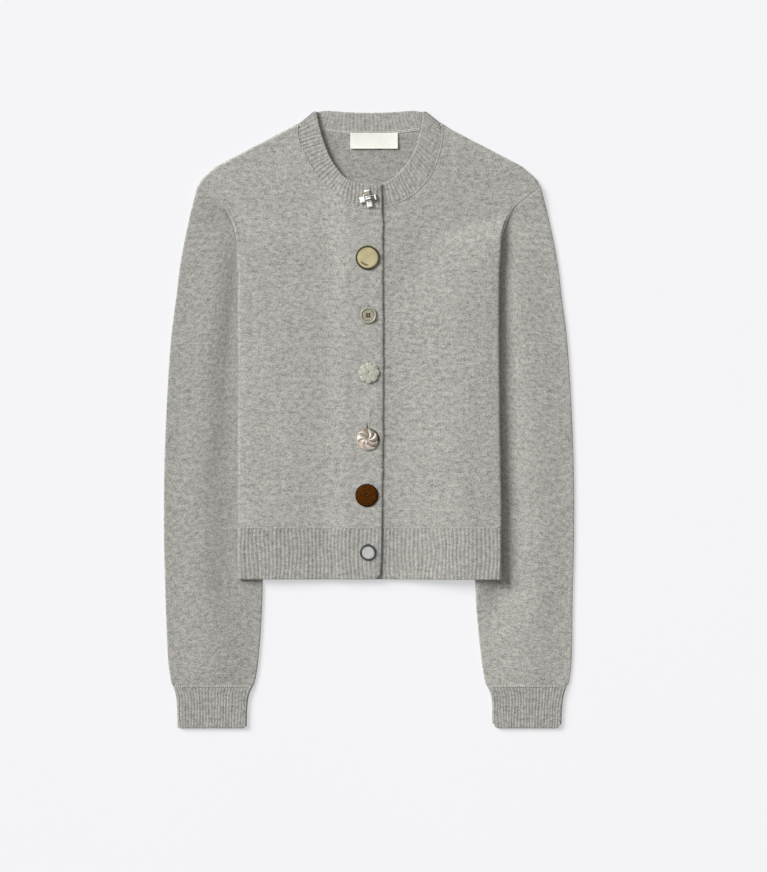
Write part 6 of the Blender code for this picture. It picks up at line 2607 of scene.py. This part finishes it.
@dataclass(frozen=True)
class LeatherFinish(Finish):
    """Dark polished brown with fine rings, a darker edge and a warm glint in the middle."""

    light: Colour = (0.090, 0.027, 0.0012)
    dark: Colour = (0.018, 0.0045, 0.0003)
    glint: Colour = (0.22, 0.10, 0.04)

    def inputs(self, shade: Shade) -> dict[str | int, object]:
        """Grain and rings, then the edge, the star and the glint over them.

        Args:
            shade: The material.

        Returns:
            Values and constants for the shader's inputs, by name.
        """
        reach = shade.reach()
        share = shade.noise(4.5, 1.0, 3, 0.6).scaled(2.0, 0.35) + (reach * 2.2).math("SINE") * 0.2
        colour = shade.mix(share, self.light, self.dark)
        colour = shade.mix(reach.step(10.4, 12.0) * 0.75, colour, tint(self.dark, 0.5))
        colour = shade.mix(reach.step(2.6, 1.6) * 0.7, colour, tint(self.dark, 0.6))
        return {
            "Base Color": shade.mix(reach.step(1.0, 0.5) * 0.8, colour, self.glint),
            "Normal": shade.bump(share, 0.06 * MM, 0.4),
            "Roughness": 0.7,
            "Specular IOR Level": 0.05,
        }


@dataclass(frozen=True)
class FloorFinish(Finish):
    """A pale matt floor, a shade brighter than its light would make it."""

    colour: Colour = (1.0, 1.0, 1.02)
    cover: float = 0.40
    glow: float = 0.47

    def inputs(self, shade: Shade) -> dict[str | int, object]:
        """Almost even colour, and a little light of its own.

        Args:
            shade: The material.

        Returns:
            Values and constants for the shader's inputs, by name.
        """
        share = shade.noise(400, 400, on_cloth=False) + 0.5
        tones = (tint(self.colour, self.cover * factor) for factor in (0.985, 1.015))
        return {
            "Base Color": shade.mix(share, *tones),
            "Roughness": 0.9,
            "Specular IOR Level": 0.0,
            "Emission Color": self.colour,
            "Emission Strength": self.glow,
        }


# Fibres


@dataclass
class Fuzz:
    """Loose fibres that stand out of the knitting, each a thin tapered curl of three segments."""

    seed: int
    longest: float = 4.2 * MM
    shortest: float = 1.6 * MM
    thickness: float = 0.045 * MM
    upright: float = 0.35
    stations: tuple[float, ...] = (-0.12, 0.3, 0.68, 1.0)
    taper: tuple[float, ...] = (1.0, 0.9, 0.7, 0.25)

    def on_piece(self, piece: Piece, count: int, lowest: float) -> Piece:
        """Scatters fibres over the upper side of a piece.

        Each starts at a face picked by its area, leaves along a random direction in plan plus a
        share of the face's normal, and curls by a random turn.

        Args:
            piece: The piece that they grow on.
            count: How many fibres.
            lowest: Height below which none grow.

        Returns:
            The fibres.
        """
        faces, upright = piece.data.polygons, self.upright
        dice = np.random.default_rng(self.seed + len(faces))
        centre, facing, size = (np.zeros(len(faces) * wide, np.float32) for wide in (3, 3, 1))
        for values, kind in ((centre, "center"), (facing, "normal"), (size, "area")):
            faces.foreach_get(kind, values)
        centre, facing = centre.reshape(-1, 3), facing.reshape(-1, 3)
        share = (size * (facing[:, 2] > -0.2) * (centre[:, 2] > lowest)).astype(float)
        pick = dice.choice(len(faces), count, p=share / share.sum())
        root, normal = centre[pick].astype(float), facing[pick].astype(float)
        turn = dice.uniform(0, 2 * math.pi, count)
        flat = np.stack([np.cos(turn), np.sin(turn), 0 * turn], axis=1)
        bend = np.stack([-np.sin(turn), np.cos(turn), 0 * turn], axis=1) * dice.normal(0, 0.8, (count, 1))
        length = dice.uniform(self.shortest, self.longest, (count, 1))
        way = unit(flat + upright * dice.uniform(0.2, 1.6, (count, 1)) * normal)
        share = np.array(self.stations)[None, :, None]
        path = root[:, None] + length[:, None] * (share * way[:, None] + 0.45 * share**2 * bend[:, None])
        path[:, :, 2] -= 0.25 * length * share[..., 0] ** 2 * upright
        return strands_piece(f"fibres_of_{piece.name}", path, np.array(self.taper) * self.thickness, 3)


# Studio


@dataclass
class Studio:
    """A pale floor, soft light from the upper left, and the camera straight above."""

    scale: float = 1.1 * MM
    width: int = 767
    height: int = 872
    centre: tuple[float, float] = (369.0, 419.0)
    lens: float = 85.0
    sensor: float = 36.0
    floor_level: float = -0.15 * MM
    floor_half: float = 3.0
    floor_points: int = 25
    key_turn: float = 147.0
    key_height: float = 32.0
    key_strength: float = 4.3
    key_softness: float = 30.0
    room: float = 0.24
    fill_power: float = 15.0
    fill_size: tuple[float, float] = (2.4, 2.0)
    fill_place: tuple[float, float, float] = (-0.3, 0.4, 3.0)

    def show(self, name: str, data: bpy.types.ID, place: Matrix) -> Piece:
        """Puts a camera or a lamp into the scene.

        Args:
            name: Its name.
            data: Its data.
            place: Its place and turn.

        Returns:
            Its object.
        """
        shown = bpy.data.objects.new(name, data)
        shown.matrix_world = place
        bpy.context.scene.collection.objects.link(shown)
        return shown

    def camera(self) -> None:
        """Puts the camera over the middle of the frame, at the distance that gives its scale."""
        data = bpy.data.cameras.new("camera")
        data.lens, data.sensor_width = self.lens, self.sensor
        data.clip_start, data.clip_end = 0.05, 50.0
        x = (self.width / 2 - self.centre[0]) * self.scale
        y = (self.centre[1] - self.height / 2) * self.scale
        distance = self.height * self.scale / 2 / (self.sensor / 2 / self.lens)
        bpy.context.scene.camera = self.show("camera", data, Matrix.Translation((x, y, distance)))

    def floor(self) -> None:
        """Lays a wide floor just under the garment."""
        line = np.linspace(-self.floor_half, self.floor_half, self.floor_points)
        v, u = np.meshgrid(line, line)
        points = np.dstack([u, v, np.full(u.shape, self.floor_level)]).reshape(-1, 3)
        row, column = grid_cells(*u.shape, False)
        corners = (row * self.floor_points + column)[:, ::-1].ravel()
        floor = mesh_piece("floor", points, corners, np.full(len(row), 4), points[corners, :2])
        floor.data.materials.append(FloorFinish("pale_floor").material())

    def lights(self) -> None:
        """Adds the room's light, the key and a wide fill overhead."""
        world = bpy.data.worlds.new("room")
        world.use_nodes = True
        background = world.node_tree.nodes["Background"]
        background.inputs["Color"].default_value = (1.0, 1.0, 1.0, 1.0)
        background.inputs["Strength"].default_value = self.room
        bpy.context.scene.world = world
        key = bpy.data.lights.new("key", "SUN")
        key.energy, key.angle = self.key_strength, math.radians(self.key_softness)
        turn, rise = math.radians(self.key_turn), math.radians(self.key_height)
        way = Vector((math.cos(turn) * math.cos(rise), math.sin(turn) * math.cos(rise), math.sin(rise)))
        self.show("key", key, way.to_track_quat("Z", "Y").to_matrix().to_4x4())
        fill = bpy.data.lights.new("fill", "AREA")
        fill.shape, fill.energy = "RECTANGLE", self.fill_power
        fill.size, fill.size_y = self.fill_size
        self.show("fill", fill, Matrix.Translation(self.fill_place)).visible_glossy = False

    def build(self) -> None:
        """Sets up the floor, the lights and the camera."""
        self.floor()
        self.lights()
        self.camera()
        bpy.context.scene.view_settings.view_transform = "Standard"


# The garment


@dataclass
class Dresser:
    """Gives pieces their finish and body, and hides the solids that they stand for."""

    made: dict[str, Material] = field(default_factory=dict)

    def dress(self, piece: Piece, finish: Finish, slot: str, *nodes: str) -> Piece:
        """Finishes one piece.

        Args:
            piece: The piece.
            finish: Its finish.
            slot: Not used.
            nodes: The solids that it stands for.

        Returns:
            The piece.
        """
        if finish.name not in self.made:
            self.made[finish.name] = finish.material()
        piece.data.materials.clear()
        piece.data.materials.append(self.made[finish.name])
        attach(piece, BODY)
        if nodes:
            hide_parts(*nodes)
        LOG.info("%s: %d faces, finish %s", piece.name, len(piece.data.polygons), finish.name)
        return piece


def rib_finish(name: str, colour: Colour, valley_shade: float = 0.34) -> KnitFinish:
    """The finish of ribs and of yarn, without plain stitches."""
    return KnitFinish(name, colour, ribbed=True, valley_shade=valley_shade)


@dataclass
class Cardigan:
    """The whole garment, built layer by layer from the surface up.

    A button's row holds its place, its diameter, and its hole's upper end and length.
    """

    dresser: Dresser = field(default_factory=Dresser)
    jersey: tuple[float, float] = (7.95 * MM, 5.9 * MM)
    ribs: tuple[float, float] = (8.8 * MM, 6.3 * MM)
    plain: KnitFinish = KnitFinish("melange_knit", (0.383, 0.373, 0.345))
    # Painted light: the wearer's right front and left sleeve are a little lighter than the rest, where their
    # slopes turn from the light.
    right: KnitFinish = KnitFinish("melange_knit_right_painted_light", (0.406, 0.395, 0.366))
    sleeve: KnitFinish = KnitFinish("melange_knit_sleeve", (0.359, 0.349, 0.323))
    left_sleeve_painted_light: KnitFinish = KnitFinish("melange_knit_left_sleeve_painted_light", (0.400, 0.389, 0.359))
    # Painted shade: the inside of the back is darker than the fronts.
    back_painted_shade: KnitFinish = KnitFinish("melange_knit_back_painted_shade", (0.340, 0.330, 0.305))
    cuff: KnitFinish = rib_finish("melange_rib_cuff", (0.366, 0.356, 0.330))
    rib: KnitFinish = rib_finish("melange_rib", (0.383, 0.372, 0.344))
    seam: KnitFinish = rib_finish("seam_yarn", (0.47, 0.46, 0.43), 0.0)
    chain: KnitFinish = rib_finish("pale_seam_yarn", (0.62, 0.61, 0.58), 0.0)
    crystal: ButtonSeat = ButtonSeat(*in_mm((-0.5, 241.2, 19.6, 12.9, 15.5))[0])
    dome: ButtonSeat = ButtonSeat(*in_mm((-1.5, 176.7, 26.4, 14.9, 22.0))[0])
    horn: ButtonSeat = ButtonSeat(*in_mm((-0.7, 113.5, 18.3, 12.2, 18.0))[0])
    flower: ButtonSeat = ButtonSeat(*in_mm((0.0, 50.5, 23.6, 13.6, 20.0))[0])
    pinwheel: ButtonSeat = ButtonSeat(*in_mm((-1.1, -22.4, 24.8, 19.0, 23.0))[0])
    leather: ButtonSeat = ButtonSeat(*in_mm((-2.4, -83.7, 25.2, 13.6, 21.0))[0])
    cabochon: ButtonSeat = ButtonSeat(*in_mm((-1.3, -146.1, 17.8, 10.0, 17.0))[0])

    @property
    def on_front(self) -> tuple[ButtonSeat, ...]:
        """The seats of the five buttons whose holes are in the right front."""
        return self.dome, self.horn, self.flower, self.pinwheel, self.leather

    def add_fibres(self, piece: Piece, count: int, lowest: float = 0.0) -> None:
        """Grows this many loose fibres on a knitted piece, none below the lowest height."""
        self.dresser.dress(Fuzz(71).on_piece(piece, count, lowest), FuzzFinish("loose_fibres"), "grey_knit")

    def sheet(self, piece: Piece, flat: tuple[float, float], area: float, *under: str) -> None:
        """Multiplies a piece's flat size, given in millimetres, by its share of it, and keeps nothing."""
        width, length = flat[0] * MM, flat[1] * MM
        area * width * length

    def build_body(self) -> None:
        """The back, the fronts, the hem bands, the neckband and the label."""
        dress, panels, hems = self.dresser.dress, Panels(), HemBands()
        back = dress(panels.back("back_panel_knit"), self.back_painted_shade, "grey_knit", "back_panel")
        left = panels.front(Side.LEFT, (), "front_left_knit")
        right = panels.front(Side.RIGHT, self.on_front, "front_right_knit")
        dress(left, self.plain, "grey_knit", "front_left")
        dress(right, self.right, "grey_knit", "front_right")
        hem_back = dress(hems.back("hem_back_rib"), self.rib, "grey_rib", "hem_back")
        hem_left = hems.front(Side.LEFT, (), "hem_front_left_rib")
        hem_right = hems.front(Side.RIGHT, (self.cabochon,), "hem_front_right_rib")
        dress(hem_left, self.rib, "grey_rib", "hem_front_left")
        dress(hem_right, self.rib, "grey_rib", "hem_front_right")
        neckband = Neckband().build((self.crystal,), "neckband_rib")
        dress(neckband, self.rib, "grey_rib", "neckband")
        label = NeckLabel().build("label_ribbon")
        dress(label, WovenFinish("label_ribbon_weave"), "label_cloth", "neck_label")
        for piece, count in ((left, 3600), (right, 3600), (hem_left, 600), (hem_right, 600), (neckband, 700)):
            self.add_fibres(piece, count)
        self.sheet(back, (377, 441), 0.80, "sleeve_left_knit", "sleeve_right_knit")
        self.sheet(left, (206, 443), 0.76, "back_panel_knit")
        self.sheet(right, (204, 443), 0.76, "back_panel_knit", "front_left_knit")
        self.sheet(hem_back, (292, 57), 1.0, "sleeve_left_knit", "sleeve_right_knit")
        self.sheet(hem_left, (166, 57), 1.0, "hem_back_rib")
        self.sheet(hem_right, (162, 57), 1.0, "hem_back_rib", "hem_front_left_rib")
        self.sheet(neckband, (405, 25), 1.0, "back_panel_knit", "front_left_knit")
        self.sheet(label, (52.2, 17.5), 1.0, "back_panel_knit")

    def build_sleeves(self) -> None:
        """The sleeves and the cuffs."""
        for side, finish in ((Side.RIGHT, self.sleeve), (Side.LEFT, self.left_sleeve_painted_light)):
            word = side.name.lower()
            sleeve = Sleeves().build(side, f"sleeve_{word}_knit")
            self.dresser.dress(sleeve, finish, "grey_knit", f"sleeve_{word}")
            self.sheet(sleeve, (240, 548), 0.86, "floor")
            cuff = Cuffs().build(side, f"cuff_{word}_rib")
            self.dresser.dress(cuff, self.cuff, "grey_rib", f"cuff_{word}")
            self.sheet(cuff, (166, 46), 1.0, "floor")
            self.add_fibres(sleeve, 3600, 2.2 * MM)
            self.add_fibres(cuff, 500, 2.2 * MM)

    def build_sewing(self) -> None:
        """The seams' stitches and the buttonholes' stitches."""
        dress, sewing = self.dresser.dress, Stitching()
        yarn, hem, cuff = sewing.yarn, sewing.hem_seams(), sewing.cuff_seams()
        neck, back_neck = sewing.neck_seams(), sewing.back_neck_seam()
        for name, paths, width, thickness, finish in (
            ("hem_seam_stitches", hem, 0.9 * MM, yarn, self.seam),
            ("cuff_seam_stitches", cuff, 0.9 * MM, yarn * 1.1, self.seam),
            ("neck_seam_stitches", neck, 0.8 * MM, yarn, self.seam),
            ("back_neck_chain", back_neck, 2.0 * MM, 0.45 * MM, self.chain),
        ):
            dress(sewing.chain(name, paths, width, thickness), finish, "grey_rib")
        for name, paths, sink, finish, slot in (
            ("armhole_rolls", sewing.armhole_seams(), 0.2 * MM, self.plain, "grey_knit"),
            ("hem_rolls", hem, 0.1 * MM, self.seam, "grey_rib"),
            ("cuff_rolls", cuff, 0.1 * MM, self.seam, "grey_rib"),
            ("neck_rolls", neck, 0.0, self.plain, "grey_rib"),
            ("back_neck_roll", back_neck, 0.1 * MM, self.seam, "grey_rib"),
        ):
            dress(sewing.rolls(name, paths, sink), finish, slot)
        wall, rib_wall = sewing.knit.wall, sewing.knit.rib_wall
        dress(sewing.overcast("buttonholes_plain", self.on_front, wall), self.seam, "grey_knit")
        ribbed = (self.crystal, self.cabochon)
        dress(sewing.overcast("buttonholes_rib", ribbed, rib_wall), self.seam, "grey_rib")

    def build_upper_buttons(self) -> None:
        """The crystal cluster, the dome, the horn button with its thread, and the flower."""
        dress = self.dresser.dress
        crystal = CrystalButton(self.crystal, *self.ribs, spin=math.radians(12))
        plate = MetalFinish("silver_plate", (0.55, 0.54, 0.50), (0.22, 0.21, 0.19))
        dress(crystal.build("crystal_plate"), plate, "clear_stones", "button_crystal")
        dress(crystal.cut_stones("crystal_stones"), StoneFinish("cut_stones"), "clear_stones")
        dress(crystal.claws("crystal_claws"), plate, "clear_stones")
        # The dome's face: painted highlight to the lower right, painted shade to the upper left, and a
        # painted dark reflection.
        gold = MetalFinish(
            "pale_gold",
            rim=(0.060, 0.045, 0.012),
            tarnish_and_dark_reflection=(0.040, 0.028, 0.006),
            face=11.3,
            face_colour=(0.50, 0.44, 0.245),
            face_shade=(0.40, 0.35, 0.195),
            glow=(0.70, 0.63, 0.38),
            dark_reflection=8.0,
            metallic=0.1,
            roughness=0.5,
        )
        dome = DomeButton(self.dome, *self.jersey).build("dome_button")
        dress(dome, gold, "gold_metal", "button_dome")
        horn = HornButton(self.horn, *self.jersey)
        dress(horn.build("horn_button"), HornFinish("polished_horn"), "dark_horn", "button_horn")
        thread = FuzzFinish("brown_thread", (0.10, 0.06, 0.03))
        dress(horn.thread("horn_button_thread"), thread, "dark_horn")
        flower = FlowerButton(self.flower, *self.jersey).build("flower_button")
        dress(flower, PearlFinish("mother_of_pearl"), "pearl", "button_flower")

    def build_lower_buttons(self) -> None:
        """The pinwheel, the leather button and the cabochon."""
        dress = self.dresser.dress
        pinwheel = PinwheelButton(self.pinwheel, *self.jersey).build("pinwheel_button")
        dress(pinwheel, RoseFinish("rose_mirror_glass"), "rose_glass", "button_pinwheel")
        leather = LeatherButton(self.leather, *self.jersey).build("brown_button")
        dress(leather, LeatherFinish("polished_brown"), "brown_leather", "button_leather")
        # The cabochon's face: painted highlight to the lower right, and painted shade to the upper left,
        # where its dark rim also shows wider.
        silver = MetalFinish(
            "dark_silver_rim",
            rim=(0.085, 0.085, 0.085),
            tarnish_and_dark_reflection=(0.035, 0.035, 0.035),
            face=6.75,
            shift=0.42,
            face_colour=(0.52, 0.53, 0.51),
            face_shade=(0.44, 0.45, 0.435),
            glow=(0.60, 0.60, 0.58),
            metallic=0.1,
            roughness=0.4,
        )
        cabochon = CabochonButton(self.cabochon, *self.ribs).build("cabochon_button")
        dress(cabochon, silver, "silver_metal", "button_cabochon")


def main() -> None:
    """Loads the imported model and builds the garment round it, the studio and the camera."""
    logging.basicConfig(level=logging.INFO, format="%(message)s")
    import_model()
    Studio().build()
    cardigan = Cardigan()
    cardigan.build_sleeves()
    cardigan.build_body()
    cardigan.build_sewing()
    cardigan.build_upper_buttons()
    cardigan.build_lower_buttons()


if __name__ == "__main__":
    main()
